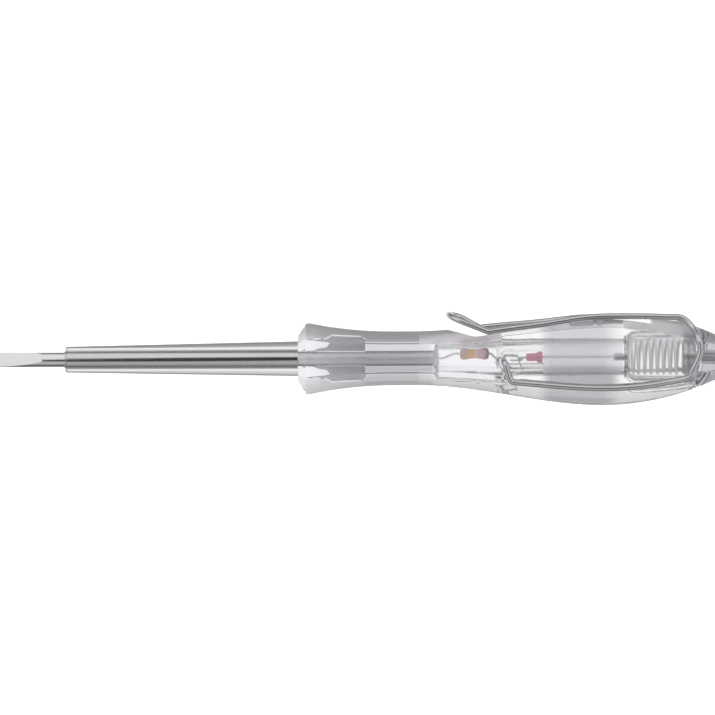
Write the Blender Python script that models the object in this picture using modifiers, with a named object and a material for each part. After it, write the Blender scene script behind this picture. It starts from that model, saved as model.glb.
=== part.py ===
"""Voltage tester screwdriver: insulated blade, clear hexagonal handle with its lamp circuit, wire pocket clip.

The tool lies along +X with its tip at the origin. +Y is the clip side and +Z one of the two broad side flats.
"""
import math

import bmesh
import bpy
from mathutils import Matrix, Vector

# Clearances and overruns, in metres like every other length
FIT_GAP = 0.0003
LEAD_GAP = 0.0002
CUT_OVERRUN = 0.002

# Blade
BLADE_DIAMETER = 0.0030
BLADE_REACH = 0.0600
BLADE_TAIL = 0.0008
TIP_THICKNESS = 0.0005
GRIND_LENGTH = 0.0100
GRIND_WHEEL_RADIUS = 0.0800
TIP_ROLL = 17.0
WING_SPAN = 0.0046
WING_THICKNESS = 0.0010
WING_LENGTH = 0.0040
WING_SETBACK = 0.0034

# Insulating sleeve on the blade
BARE_TIP_LENGTH = 0.0134
SLEEVE_FRONT_DIAMETER = 0.0052
SLEEVE_MOUTH_DIAMETER = 0.0070
SLEEVE_REAR_DIAMETER = 0.0076
SLEEVE_SOCKET_DEPTH = 0.0136
SLEEVE_CHAMFER = 0.0004
SLEEVE_END_ROUND = 0.0010

# Handle, radii measured to the corners of its hexagon
HANDLE_LENGTH = 0.0790
FRONT_FACE_RADIUS = 0.0046
COLLAR_RADIUS = 0.00715
COLLAR_CHAMFER_LENGTH = 0.0016
COLLAR_LAND = 0.0008
NECK_RADIUS = 0.00545
NECK_START = 0.0190
NECK_END = 0.0240
BELLY_RADIUS = 0.0096
BELLY_SETBACK = 0.0180
TAIL_RADIUS = 0.00395
TAIL_LENGTH = 0.0061
EDGE_ROUND = 0.00035

# Broad side flats, swept to a large radius
FLAT_DEPTH = 0.0066
FLAT_SWEEP_RADIUS = 0.1300
FLAT_START = 0.0406

# Bore of the handle
BORE_WALL_FRONT = 0.0270
FRONT_BORE_RADIUS = 0.0034
FRONT_BORE_LENGTH = 0.0088
LAMP_BORE_RADIUS = 0.00365
SPRING_BORE_RADIUS = 0.0048
SPRING_BORE_LENGTH = 0.0144
BORE_CORNER = 0.0008

# Wire clip, its front set out from the handle's front and its rear from the handle's rear
CLIP_WIRE_DIAMETER = 0.0012
CLIP_TIP_SETBACK = 0.0302
CLIP_BEND_SETBACK = 0.0380
CLIP_TIP_LIFT = 0.0030
CLIP_HALF_SPREAD = 0.0026
CLIP_REAR_HALF_SPREAD = 0.0032
CLIP_TWIST_LIFT = 0.0009
CLIP_TWIST_LEAD = 0.0015
CLIP_CREST_RISE = 0.00015
CLIP_LEG_END_GAP = 0.0024
CLIP_LEG_DROP = 0.0004
CLIP_REAR_OVERHANG = 0.0010
CLIP_ARM_END_SETBACK = 0.0428
CLIP_ARM_DROP = 0.00015
CLIP_ARM_STAND = 0.0002
CLIP_HOOK_SETBACK = 0.0410
CLIP_HOOK_BEND = 0.0009
CLIP_HOOK_REACH = 0.00105

# Channel under the clip, and the block behind it on which the legs' rear ends rest
CHANNEL_DEPTH = 0.00245
CHANNEL_RAMP_START = 0.0298
CHANNEL_RAMP_END = 0.0354
CHANNEL_DIP = 0.0009
REST_BLOCK_LENGTH = 0.0060

# Series resistor
RESISTOR_FRONT = 0.0326
RESISTOR_LENGTH = 0.0058
RESISTOR_BODY_RADIUS = 0.00135
RESISTOR_CAP_WALL = 0.0002
RESISTOR_CAP_LENGTH = 0.0013
RESISTOR_OFFSET = 0.0010
RESISTOR_LEAD_DIAMETER = 0.0006

# Glow lamp
LAMP_FRONT = 0.0402
LAMP_LENGTH = 0.0092
LAMP_GLASS_RADIUS = 0.00205
LAMP_GLASS_WALL = 0.0004
LAMP_SEAL_RADIUS = 0.0009
LAMP_BEAD_LENGTH = 0.0032
LAMP_BEAD_RECESS = 0.0004
LAMP_WIRE_DIAMETER = 0.0005
LAMP_ELECTRODE_LENGTH = 0.0026
LAMP_ELECTRODE_OFFSET = 0.0006

# Contacts behind the lamp
PLUNGER_DISC_RADIUS = 0.0042
PLUNGER_DISC_THICKNESS = 0.0006
PLUNGER_PIN_RADIUS = 0.0008
PLUNGER_PIN_LENGTH = 0.0020
SPRING_WIRE_DIAMETER = 0.0006
SPRING_OUTER_RADIUS = 0.00445
SPRING_TURNS = 7
STUD_HEAD_LENGTH = 0.0026
STUD_HEAD_CHAMFER = 0.0003
STUD_STEM_RADIUS = 0.0010
STUD_STEM_GRIP = 0.0009
TOUCH_CAP_LENGTH = 0.0023
TOUCH_CAP_RADIUS = 0.0034
TOUCH_CAP_RIM = 0.0009
TOUCH_CAP_FACE_RADIUS = 0.0018

# Counts of facets round a piece and of steps along one
HEX_SIDES = 6
BORE_STEPS = 32
SMALL_STEPS = 20
GRIND_STEPS = 256
ROUND_STEPS = 4
EDGE_STEPS = 2
COLLAR_STEPS = 7
BELLY_STEPS = 12
TAIL_STEPS = 7
PLUG_STEPS = 4
RAMP_STEPS = 3
CHANNEL_STEPS = 9
DIP_STEPS = 4
FLAT_STEPS = 14
LOOP_STEPS = 8
LEG_STEPS = 5
LEG_REAR_STEPS = 3
ARM_STEPS = 7
HOOK_STEPS = 3
PATH_STEPS = 3
SPRING_STEPS = 10

# Angles between faces, in degrees, above which an edge is softened or shaded sharp
SOFT_EDGE_ANGLE = 25
SHARP_EDGE_ANGLE = 40

# Distances within which points are welded
TURN_WELD = 0.00001
CURVE_WELD = 0.000001

# Corners of the wire's rear bend: along from leg end to apex, of the handle radius, of the side flat depth
REAR_BEND_SHARES = (
    (0.59, 0.89, 0.72),
    (0.88, 0.56, 1.10),
    (1.00, 0.19, 1.12),
    (0.79, -0.14, 1.11),
    (0.50, -0.42, 1.09),
)

# Where the legs are highest, from the belly to their rear end
CREST_SHARE = 0.385

# Where the arm's straight run starts, from leg end to apex
ARM_START_SHARE = 0.30

# Corners of the arm's last run, across to the hook and up to it
HOOK_RUN_SHARES = ((0.55, 0.20), (0.85, 0.50))

# Where a resistor lead leaves its first height and reaches its second
LEAD_STEP_SHARES = (0.2, 0.8)

# How far the arm's start drops below the leg's end, of the gap between them
ARM_SAG_SHARE = 0.25

# Places along the tool that follow from the sizes above
handle_front = BLADE_REACH
handle_rear = handle_front + HANDLE_LENGTH
belly_x = handle_rear - BELLY_SETBACK
tail_front = handle_rear + FIT_GAP
tail_end = handle_rear + TAIL_LENGTH
bore_front = handle_front + BORE_WALL_FRONT
lamp_bore_front = bore_front + FRONT_BORE_LENGTH
spring_bore_front = handle_rear - SPRING_BORE_LENGTH
blade_radius = BLADE_DIAMETER / 2
blade_rear = bore_front + BLADE_TAIL
sleeve_rear = handle_front + SLEEVE_SOCKET_DEPTH
wing_front = sleeve_rear + WING_SETBACK
wire_radius = CLIP_WIRE_DIAMETER / 2
wire_seat = wire_radius + FIT_GAP
clip_bend_x = handle_front + CLIP_BEND_SETBACK
clip_tip_x = handle_front + CLIP_TIP_SETBACK
leg_end_x = handle_rear - CLIP_LEG_END_GAP
clip_crest_x = belly_x + (leg_end_x - belly_x) * CREST_SHARE
rear_bend_x = handle_rear + CLIP_REAR_OVERHANG
rest_block_x = leg_end_x - REST_BLOCK_LENGTH
hook_x = handle_front + CLIP_HOOK_SETBACK


def mix(start, end, share):
    """Value at a share of the way from start to end."""
    return start + (end - start) * share


def handle_radius(x):
    """Corner radius of the hexagonal handle at a distance from the tip."""
    collar_x = handle_front + COLLAR_CHAMFER_LENGTH
    land_x = collar_x + COLLAR_LAND
    neck_x = handle_front + NECK_START
    swell_x = handle_front + NECK_END
    if x < collar_x:
        return mix(FRONT_FACE_RADIUS, COLLAR_RADIUS, (x - handle_front) / COLLAR_CHAMFER_LENGTH)
    if x < land_x:
        return COLLAR_RADIUS
    if x < neck_x:
        left = (neck_x - x) / (neck_x - land_x)
        return mix(NECK_RADIUS, COLLAR_RADIUS, left * left)
    if x < swell_x:
        return NECK_RADIUS
    if x < belly_x:
        share = (x - swell_x) / (belly_x - swell_x)
        return mix(NECK_RADIUS, BELLY_RADIUS, share * share * (3 - 2 * share))
    share = (x - belly_x) / (tail_end - belly_x)
    return mix(BELLY_RADIUS, TAIL_RADIUS, share * share)


def flat_depth(x):
    """Distance of a broad side flat from the axis."""
    return FLAT_DEPTH - (x - belly_x) ** 2 / (2 * FLAT_SWEEP_RADIUS)


def flat_edge(x):
    """Height above the axis at which a side flat meets the sloping face."""
    return handle_radius(x) - flat_depth(x) / math.sqrt(3)


hook_surface = flat_depth(hook_x) + wire_radius


def sleeve_radius(x):
    """Outer radius of the insulating sleeve, a slow taper with a steeper one in the socket."""
    if x < handle_front:
        share = (x - BARE_TIP_LENGTH) / (handle_front - BARE_TIP_LENGTH)
        return mix(SLEEVE_FRONT_DIAMETER, SLEEVE_MOUTH_DIAMETER, share) / 2
    share = (x - handle_front) / SLEEVE_SOCKET_DEPTH
    return mix(SLEEVE_MOUTH_DIAMETER, SLEEVE_REAR_DIAMETER, share) / 2


def leg_height(x):
    """Height of the clip's leg above the axis: a lifted tip, a touching bend, a run along the channel."""
    bend_height = handle_radius(clip_bend_x) - CHANNEL_DEPTH + wire_seat
    if x < clip_bend_x:
        return bend_height + CLIP_TIP_LIFT * (clip_bend_x - x) / (clip_bend_x - clip_tip_x)
    if x < belly_x:
        return handle_radius(x) - CHANNEL_DEPTH + wire_seat
    crest = BELLY_RADIUS - CHANNEL_DEPTH + wire_seat + CLIP_CREST_RISE
    if x < clip_crest_x:
        return crest - CLIP_CREST_RISE * ((clip_crest_x - x) / (clip_crest_x - belly_x)) ** 2
    return crest - CLIP_LEG_DROP * ((x - clip_crest_x) / (leg_end_x - clip_crest_x)) ** 2


def steps_between(start, end, count):
    """Evenly spaced values from start to end, both included."""
    return [mix(start, end, step / count) for step in range(count + 1)]


def corner_arc(centre_x, centre_r, radius, start_degrees, end_degrees):
    """Points of a turned profile along a round corner."""
    points = []
    for degrees in steps_between(start_degrees, end_degrees, ROUND_STEPS):
        angle = math.radians(degrees)
        points.append((centre_x + radius * math.cos(angle), centre_r + radius * math.sin(angle)))
    return points


def smooth_path(knots, steps):
    """Points of a smooth curve through the knots, which keeps its ends."""
    padded = [knots[0] * 2 - knots[1]] + knots + [knots[-1] * 2 - knots[-2]]
    path = []
    for before, start, end, after in zip(padded, padded[1:], padded[2:], padded[3:]):
        for step in range(steps):
            t = step / steps
            path.append(0.5 * (2 * start + (end - before) * t
                               + (2 * before - 5 * start + 4 * end - after) * t ** 2
                               + (3 * start - before - 3 * end + after) * t ** 3))
    path.append(knots[-1])
    return path


def new_collection(name):
    """A collection linked to the scene."""
    collection = bpy.data.collections.new(name)
    bpy.context.scene.collection.children.link(collection)
    return collection


def new_material(name, colour, roughness, metallic, transmission):
    """A Principled material of one colour."""
    material = bpy.data.materials.new(name)
    material.use_nodes = True
    shader = material.node_tree.nodes["Principled BSDF"]
    shader.inputs["Base Color"].default_value = (*colour, 1.0)
    shader.inputs["Roughness"].default_value = roughness
    shader.inputs["Metallic"].default_value = metallic
    shader.inputs["Transmission Weight"].default_value = transmission
    return material


def new_object(name, data, material=None):
    """An object in the tool's collection, or among the cutters if it has no material."""
    obj = bpy.data.objects.new(name, data)
    if material is None:
        cutters.objects.link(obj)
        obj.hide_render = True
        obj.display_type = "WIRE"
    else:
        tool.objects.link(obj)
        data.materials.append(material)
    return obj


def turned(name, profile, steps, material=None, closed=False):
    """A body turned about the tool's axis from points of distance along it and radius."""
    mesh = bpy.data.meshes.new(name)
    points = [(radius, 0, -along) for along, radius in profile]
    edges = [(index, index + 1) for index in range(len(points) - 1)]
    if closed:
        edges.append((len(points) - 1, 0))
    mesh.from_pydata(points, edges, [])
    obj = new_object(name, mesh, material)
    screw = obj.modifiers.new("Turn", "SCREW")
    screw.angle = math.tau
    screw.steps = steps
    screw.render_steps = steps
    screw.use_merge_vertices = True
    screw.merge_threshold = TURN_WELD
    screw.use_smooth_shade = steps > HEX_SIDES
    obj.matrix_world = Matrix.Rotation(-math.pi / 2, 4, "Y") @ Matrix.Rotation(math.pi / steps, 4, "Z")
    return obj


def tube(name, path, radius, material=None, resolution=2):
    """A round wire along a path, with closed ends."""
    curve = bpy.data.curves.new(name, "CURVE")
    curve.dimensions = "3D"
    curve.bevel_depth = radius
    curve.bevel_resolution = resolution
    curve.use_fill_caps = True
    spline = curve.splines.new("POLY")
    spline.points.add(len(path) - 1)
    for point, place in zip(spline.points, path):
        point.co = (*place, 1.0)
    return new_object(name, curve, material)


def slab(name, outline, half_width):
    """A flat outline in X and Y, thickened to both sides along Z."""
    curve = bpy.data.curves.new(name, "CURVE")
    curve.dimensions = "2D"
    curve.fill_mode = "BOTH"
    curve.extrude = half_width
    spline = curve.splines.new("POLY")
    spline.points.add(len(outline) - 1)
    for point, (x, y) in zip(spline.points, outline):
        point.co = (x, y, 0, 1)
    spline.use_cyclic_u = True
    return new_object(name, curve)


def block(name, low, high):
    """A box between two corners."""
    mesh = bpy.data.meshes.new(name)
    shape = bmesh.new()
    bmesh.ops.create_cube(shape, size=1)
    size = Vector(high) - Vector(low)
    bmesh.ops.scale(shape, vec=size, verts=shape.verts)
    bmesh.ops.translate(shape, vec=Vector(low) + size / 2, verts=shape.verts)
    shape.to_mesh(mesh)
    shape.free()
    return new_object(name, mesh)


def rod(name, start_x, end_x, radius, steps, material=None):
    """A plain round rod on the tool's axis."""
    mesh = bpy.data.meshes.new(name)
    shape = bmesh.new()
    turn = Matrix.Translation(((start_x + end_x) / 2, 0, 0)) @ Matrix.Rotation(math.pi / 2, 4, "Y")
    bmesh.ops.create_cone(shape, cap_ends=True, segments=steps, radius1=radius, radius2=radius,
                          depth=end_x - start_x, matrix=turn)
    shape.to_mesh(mesh)
    shape.free()
    mesh.shade_smooth()
    mesh.set_sharp_from_angle(angle=math.radians(SHARP_EDGE_ANGLE))
    return new_object(name, mesh, material)


def as_mesh(curve_object):
    """Replace a curve by its welded mesh, so that it can cut."""
    bpy.context.view_layer.update()
    evaluated = curve_object.evaluated_get(bpy.context.evaluated_depsgraph_get())
    mesh = bpy.data.meshes.new_from_object(evaluated)
    shape = bmesh.new()
    shape.from_mesh(mesh)
    bmesh.ops.remove_doubles(shape, verts=shape.verts, dist=CURVE_WELD)
    bmesh.ops.recalc_face_normals(shape, faces=shape.faces)
    shape.to_mesh(mesh)
    shape.free()
    name, place = curve_object.name, curve_object.matrix_world.copy()
    bpy.data.objects.remove(curve_object)
    obj = new_object(name, mesh)
    obj.matrix_world = place
    return obj


def combine(obj, other, operation="DIFFERENCE", folded=False):
    """A live exact Boolean of one object with another, which may be folded into itself at a tight bend."""
    modifier = obj.modifiers.new(other.name, "BOOLEAN")
    modifier.operation = operation
    modifier.solver = "EXACT"
    modifier.use_self = folded
    modifier.object = other


def hexagon(name, start_x, end_x, stations, material):
    """A stretch of the hexagonal handle, with softened edges."""
    places = sorted({round(x, 9) for x in stations if start_x < x < end_x} | {start_x, end_x})
    profile = [(start_x, 0)] + [(x, handle_radius(x)) for x in places] + [(end_x, 0)]
    obj = turned(name, profile, HEX_SIDES, material)
    bevel = obj.modifiers.new("Soft edges", "BEVEL")
    bevel.width = EDGE_ROUND
    bevel.segments = EDGE_STEPS
    bevel.limit_method = "ANGLE"
    bevel.angle_limit = math.radians(SOFT_EDGE_ANGLE)
    return obj


def make_blade():
    """Round steel shank with a hollow-ground flat tip, rolled a little, and two wings that grip the handle."""
    blade = rod("blade", 0, blade_rear, blade_radius, BORE_STEPS, steel)
    half_tip = TIP_THICKNESS / 2
    chord = Vector((GRIND_LENGTH, blade_radius - half_tip))
    rise = math.sqrt(GRIND_WHEEL_RADIUS ** 2 - (chord.length / 2) ** 2)
    centre = Vector((0, half_tip)) + chord / 2 + Vector((-chord.y, chord.x)).normalized() * rise
    for side, label in ((1, "upper"), (-1, "lower")):
        mesh = bpy.data.meshes.new("grind_wheel_" + label)
        shape = bmesh.new()
        roll = Matrix.Rotation(-math.radians(TIP_ROLL), 4, "X")
        turn = roll @ Matrix.Translation((centre.x, 0, side * centre.y)) @ Matrix.Rotation(math.pi / 2, 4, "X")
        bmesh.ops.create_cone(shape, cap_ends=True, segments=GRIND_STEPS, radius1=GRIND_WHEEL_RADIUS,
                              radius2=GRIND_WHEEL_RADIUS, depth=BLADE_DIAMETER + CUT_OVERRUN, matrix=turn)
        shape.to_mesh(mesh)
        shape.free()
        combine(blade, new_object("grind_wheel_" + label, mesh))
    half_wing = Vector((0, WING_THICKNESS / 2, WING_SPAN / 2))
    wings = block("blade_wings", Vector((wing_front, 0, 0)) - half_wing,
                  Vector((wing_front + WING_LENGTH, 0, 0)) + half_wing)
    combine(blade, wings, "UNION")


def make_sleeve():
    """Tapered clear insulation over the shank, its rear end inside the handle's socket."""
    bore = blade_radius + FIT_GAP
    front = BARE_TIP_LENGTH
    outer = [(front, sleeve_radius(front) - SLEEVE_CHAMFER),
             (front + SLEEVE_CHAMFER, sleeve_radius(front + SLEEVE_CHAMFER)),
             (handle_front, sleeve_radius(handle_front))]
    rear_round = corner_arc(sleeve_rear - SLEEVE_END_ROUND, sleeve_radius(sleeve_rear) - SLEEVE_END_ROUND,
                            SLEEVE_END_ROUND, 90, 0)
    turned("blade_sleeve", outer + rear_round + [(sleeve_rear, bore), (front, bore)], BORE_STEPS,
           sleeve_plastic, closed=True)


def handle_core():
    """The whole inside of the handle as one turned cutter: sleeve socket, blade hole, lamp and spring bores."""
    blade_hole = blade_radius + FIT_GAP
    socket_end = sleeve_rear + FIT_GAP
    socket_round = SLEEVE_END_ROUND + FIT_GAP
    mouth = handle_front - CUT_OVERRUN
    open_end = handle_rear + CUT_OVERRUN
    profile = [(mouth, 0), (mouth, sleeve_radius(mouth) + FIT_GAP),
               (handle_front, sleeve_radius(handle_front) + FIT_GAP)]
    profile += corner_arc(socket_end - socket_round, sleeve_radius(sleeve_rear) + FIT_GAP - socket_round,
                          socket_round, 90, 0)
    profile += [(socket_end, blade_hole), (bore_front, blade_hole)]
    profile += corner_arc(bore_front + BORE_CORNER, FRONT_BORE_RADIUS - BORE_CORNER, BORE_CORNER, 180, 90)
    profile += [(lamp_bore_front, FRONT_BORE_RADIUS), (lamp_bore_front, LAMP_BORE_RADIUS),
                (spring_bore_front, LAMP_BORE_RADIUS)]
    profile += [(spring_bore_front, SPRING_BORE_RADIUS - BORE_CORNER),
                (spring_bore_front + BORE_CORNER, SPRING_BORE_RADIUS),
                (open_end, SPRING_BORE_RADIUS), (open_end, 0)]
    return turned("handle_core", profile, BORE_STEPS)


def channel_cutter():
    """The channel under the clip: a ramp, a floor that follows the wire, a dip and the rest block's step."""
    ramp_x = handle_front + CHANNEL_RAMP_START
    floor_x = handle_front + CHANNEL_RAMP_END
    exit_x = leg_end_x + CUT_OVERRUN
    top = BELLY_RADIUS + CUT_OVERRUN
    outline = [(ramp_x, handle_radius(ramp_x))]
    outline += [(x, handle_radius(x) - CHANNEL_DEPTH) for x in steps_between(floor_x, clip_bend_x, RAMP_STEPS)]
    outline += [(x, leg_height(x) - wire_seat) for x in steps_between(clip_bend_x, belly_x, CHANNEL_STEPS)[1:]]
    belly_floor = leg_height(belly_x) - wire_seat
    dip_floor = leg_height(rest_block_x) - wire_seat - CHANNEL_DIP
    for share in steps_between(0, 1, DIP_STEPS)[1:]:
        outline.append((mix(belly_x, rest_block_x, share), mix(belly_floor, dip_floor, share ** 2)))
    outline += [(x, leg_height(x) - wire_seat) for x in steps_between(rest_block_x, leg_end_x, RAMP_STEPS)]
    outline += [(exit_x, leg_height(leg_end_x) - wire_seat), (exit_x, top), (ramp_x, top)]
    return as_mesh(slab("channel_cutter", outline, BELLY_RADIUS))


def flat_cutter(side, label):
    """What the broad side flat takes off the hexagon, from the hook pocket to the end of the handle."""
    start = handle_front + FLAT_START
    end = handle_rear + CUT_OVERRUN
    outside = BELLY_RADIUS + CUT_OVERRUN
    outline = [(x, side * flat_depth(x)) for x in steps_between(start, end, FLAT_STEPS)]
    outline += [(end, side * outside), (start, side * outside)]
    cutter = slab("flat_cutter_" + label, outline, BELLY_RADIUS + CUT_OVERRUN)
    cutter.matrix_world = Matrix.Rotation(math.pi / 2, 4, "X")
    return as_mesh(cutter)


def leg_path(side):
    """One leg of the clip, from its loop to its rear end. The far leg sits a little higher and bends sooner."""
    far = 1 if side < 0 else 0
    loop_x = mix(clip_tip_x, clip_bend_x, CLIP_HALF_SPREAD / (clip_bend_x - clip_tip_x))
    front = [loop_x, (loop_x + clip_bend_x) / 2, clip_bend_x - CLIP_WIRE_DIAMETER]
    rear = steps_between(clip_bend_x + CLIP_WIRE_DIAMETER, belly_x, LEG_STEPS)
    rear += steps_between(clip_crest_x, leg_end_x, LEG_REAR_STEPS)
    knots = []
    for x in front + [clip_bend_x] + rear:
        fade = max(0.0, min(1.0, (belly_x - x) / (belly_x - clip_bend_x)))
        along = max(0.0, (x - clip_bend_x) / (leg_end_x - clip_bend_x))
        shift = CLIP_TWIST_LEAD * far * fade * max(0.0, min(1.0, (x - loop_x) / (clip_bend_x - loop_x)))
        spread = mix(CLIP_HALF_SPREAD, CLIP_REAR_HALF_SPREAD, along)
        knots.append(Vector((x - shift, leg_height(x) + CLIP_TWIST_LIFT * far * fade, side * spread)))
    return smooth_path(knots, PATH_STEPS)


def legs_path():
    """Both legs and the loop that joins them at the clip's tip, as one wire."""
    near = leg_path(1)
    far = leg_path(-1)
    middle = (near[0] + far[0]) / 2
    arm = (near[0] - far[0]) / 2
    forward = Vector((clip_tip_x, leg_height(clip_tip_x) + CLIP_TWIST_LIFT / 2, 0)) - middle
    loop = []
    for degrees in steps_between(0, 180, LOOP_STEPS)[1:-1]:
        angle = math.radians(degrees)
        loop.append(middle + arm * math.cos(angle) + forward * math.sin(angle))
    return list(reversed(near)) + loop + far


def arm_knots():
    """Corners of the near arm: round the rear, forward along the flat's edge, then up across the flat."""
    start_height = leg_height(leg_end_x) - FIT_GAP * ARM_SAG_SHARE
    knots = [Vector((leg_end_x + FIT_GAP, start_height, CLIP_REAR_HALF_SPREAD))]
    for along, up, out in REAR_BEND_SHARES:
        x = mix(leg_end_x, rear_bend_x, along)
        knots.append(Vector((x, handle_radius(x) * up, flat_depth(x) * out)))
    run_start = mix(leg_end_x, rear_bend_x, ARM_START_SHARE)
    for x in steps_between(run_start, handle_front + CLIP_ARM_END_SETBACK, ARM_STEPS):
        knots.append(Vector((x, -flat_edge(x) - CLIP_ARM_DROP, flat_depth(x) + CLIP_ARM_STAND)))
    corner = knots[-1]
    top = Vector((hook_x, -CLIP_HOOK_BEND, hook_surface))
    for across, rise in HOOK_RUN_SHARES:
        knots.append(Vector((mix(corner.x, top.x, across), mix(corner.y, top.y, rise), top.z)))
    return knots + [top]


def arm_path(side):
    """One arm of the clip with its hook, which bends into the handle's side."""
    path = smooth_path(arm_knots(), PATH_STEPS)
    for angle in steps_between(0, math.pi / 2, HOOK_STEPS)[1:]:
        height = -CLIP_HOOK_BEND * (1 - math.sin(angle))
        path.append(Vector((hook_x, height, hook_surface - CLIP_HOOK_BEND * (1 - math.cos(angle)))))
    path.append(Vector((hook_x, 0, hook_surface - CLIP_HOOK_REACH)))
    return [Vector((point.x, point.y, side * point.z)) for point in path]


def groove_cutter(side, label):
    """The arm's groove, its own path at a clearance, which ends over the hook hole."""
    path = smooth_path(arm_knots(), PATH_STEPS) + [Vector((hook_x, 0, hook_surface))]
    path = [Vector((point.x, point.y, side * point.z)) for point in path]
    return as_mesh(tube("groove_cutter_" + label, path, wire_seat))


def hook_hole(side, label):
    """The blind hole for the end of one arm."""
    floor = hook_surface - CLIP_HOOK_REACH - FIT_GAP
    mesh = bpy.data.meshes.new("hook_hole_" + label)
    shape = bmesh.new()
    place = Matrix.Translation((hook_x, 0, side * (floor + BELLY_RADIUS) / 2))
    bmesh.ops.create_cone(shape, cap_ends=True, segments=SMALL_STEPS, radius1=wire_seat, radius2=wire_seat,
                          depth=BELLY_RADIUS - floor, matrix=place)
    shape.to_mesh(mesh)
    shape.free()
    return new_object("hook_hole_" + label, mesh)


def make_handle():
    """Clear hexagonal handle: collar, slim neck and belly, bored from both ends."""
    collar_x = handle_front + COLLAR_CHAMFER_LENGTH
    land_x = collar_x + COLLAR_LAND
    stations = [collar_x] + steps_between(land_x, handle_front + NECK_START, COLLAR_STEPS)
    stations += steps_between(handle_front + NECK_END, belly_x, BELLY_STEPS)
    stations += steps_between(belly_x, handle_rear, TAIL_STEPS)
    handle = hexagon("handle_body", handle_front, handle_rear, stations, clear_plastic)
    combine(handle, handle_core())
    combine(handle, channel_cutter())
    slot = Vector((FIT_GAP, WING_THICKNESS / 2 + FIT_GAP, WING_SPAN / 2 + FIT_GAP))
    combine(handle, block("wing_slot", Vector((wing_front, 0, 0)) - slot,
                          Vector((wing_front + WING_LENGTH, 0, 0)) + slot))
    for side, label in ((1, "near"), (-1, "far")):
        combine(handle, flat_cutter(side, label))
    return handle


def make_tail(grooves):
    """Clear end plug behind the handle, held by the clip's bends, with a hole for the stud."""
    stations = steps_between(tail_front, tail_end, PLUG_STEPS)
    plug = hexagon("end_plug", tail_front, tail_end, stations, clear_plastic)
    hole = rod("stud_hole", tail_front - CUT_OVERRUN, tail_end + CUT_OVERRUN, STUD_STEM_RADIUS + FIT_GAP,
               SMALL_STEPS)
    combine(plug, hole)
    for groove in grooves:
        combine(plug, groove, folded=True)


def make_resistor():
    """Series resistor: a ceramic rod, a metal cap on each end and a lead out of each cap."""
    front = handle_front + RESISTOR_FRONT
    rear = front + RESISTOR_LENGTH
    seat = RESISTOR_CAP_WALL + LEAD_GAP
    lift = Matrix.Translation((0, RESISTOR_OFFSET, 0))
    body = rod("resistor_body", front + seat, rear - seat, RESISTOR_BODY_RADIUS, SMALL_STEPS, ceramic)
    body.matrix_world = lift
    inner = RESISTOR_BODY_RADIUS + LEAD_GAP
    outer = inner + RESISTOR_CAP_WALL
    for label, face, direction in (("front", front, 1), ("rear", rear, -1)):
        floor = face + direction * RESISTOR_CAP_WALL
        mouth = face + direction * RESISTOR_CAP_LENGTH
        profile = [(face, 0), (face, outer), (mouth, outer), (mouth, inner), (floor, inner), (floor, 0)]
        if direction < 0:
            profile.reverse()
        cap = turned("resistor_" + label + "_cap", profile, SMALL_STEPS, tinned)
        cap.matrix_world = lift @ cap.matrix_world
    lead_radius = RESISTOR_LEAD_DIAMETER / 2
    lead_wire("resistor_front_lead", blade_rear + LEAD_GAP, 0, front - LEAD_GAP, RESISTOR_OFFSET, lead_radius)
    lead_wire("resistor_rear_lead", rear + LEAD_GAP, RESISTOR_OFFSET,
              handle_front + LAMP_FRONT - LEAD_GAP, 0, lead_radius)


def lead_wire(name, start_x, start_y, end_x, end_y, radius):
    """A short lead with straight ends and an easy step between two heights."""
    leave, reach = LEAD_STEP_SHARES
    knots = [Vector((mix(start_x, end_x, share), start_y, 0)) for share in (0, leave)]
    knots += [Vector((mix(start_x, end_x, share), end_y, 0)) for share in (reach, 1)]
    tube(name, smooth_path(knots, PATH_STEPS), radius, tinned, resolution=1)


def make_lamp():
    """Glow lamp: a glass tube with a pinched front, a bead in its open rear and two electrodes."""
    front = handle_front + LAMP_FRONT
    rear = front + LAMP_LENGTH
    wire = LAMP_WIRE_DIAMETER / 2
    hole = wire + LEAD_GAP
    inner = LAMP_GLASS_RADIUS - LAMP_GLASS_WALL
    seal_end = front + LAMP_GLASS_RADIUS
    outside = [(front, LAMP_SEAL_RADIUS)]
    inside = []
    for degrees in steps_between(30, 90, ROUND_STEPS):
        angle = math.radians(degrees)
        outside.append((seal_end - LAMP_GLASS_RADIUS * math.cos(angle), LAMP_GLASS_RADIUS * math.sin(angle)))
        inside.append((seal_end - inner * math.cos(angle), inner * math.sin(angle)))
    profile = outside + [(rear, LAMP_GLASS_RADIUS), (rear, inner)] + list(reversed(inside))
    profile += [(inside[0][0], hole), (front, hole)]
    turned("lamp_glass", profile, SMALL_STEPS, lamp_glass, closed=True)
    bead_rear = rear - LAMP_BEAD_RECESS
    bead_front = bead_rear - LAMP_BEAD_LENGTH
    bead_radius = inner - LEAD_GAP
    turned("lamp_bead", [(bead_front, hole), (bead_front, bead_radius), (bead_rear, bead_radius),
                         (bead_rear, hole)], SMALL_STEPS, bead_red, closed=True)
    step = LAMP_GLASS_WALL
    inner_front = inside[0][0] + step
    front_knots = [(front, 0), (inner_front, 0), (inner_front + step, LAMP_ELECTRODE_OFFSET),
                   (inner_front + step + LAMP_ELECTRODE_LENGTH, LAMP_ELECTRODE_OFFSET)]
    rear_bend = bead_front - step
    plunger_tip = spring_bore_front + FIT_GAP - PLUNGER_PIN_LENGTH
    rear_knots = [(rear_bend - step - LAMP_ELECTRODE_LENGTH, -LAMP_ELECTRODE_OFFSET),
                  (rear_bend - step, -LAMP_ELECTRODE_OFFSET), (rear_bend, 0), (plunger_tip - LEAD_GAP, 0)]
    for name, knots in (("lamp_front_electrode", front_knots), ("lamp_rear_electrode", rear_knots)):
        path = [Vector((x, y, 0)) for x, y in knots]
        tube(name, path, wire, tinned, resolution=1)


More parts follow.
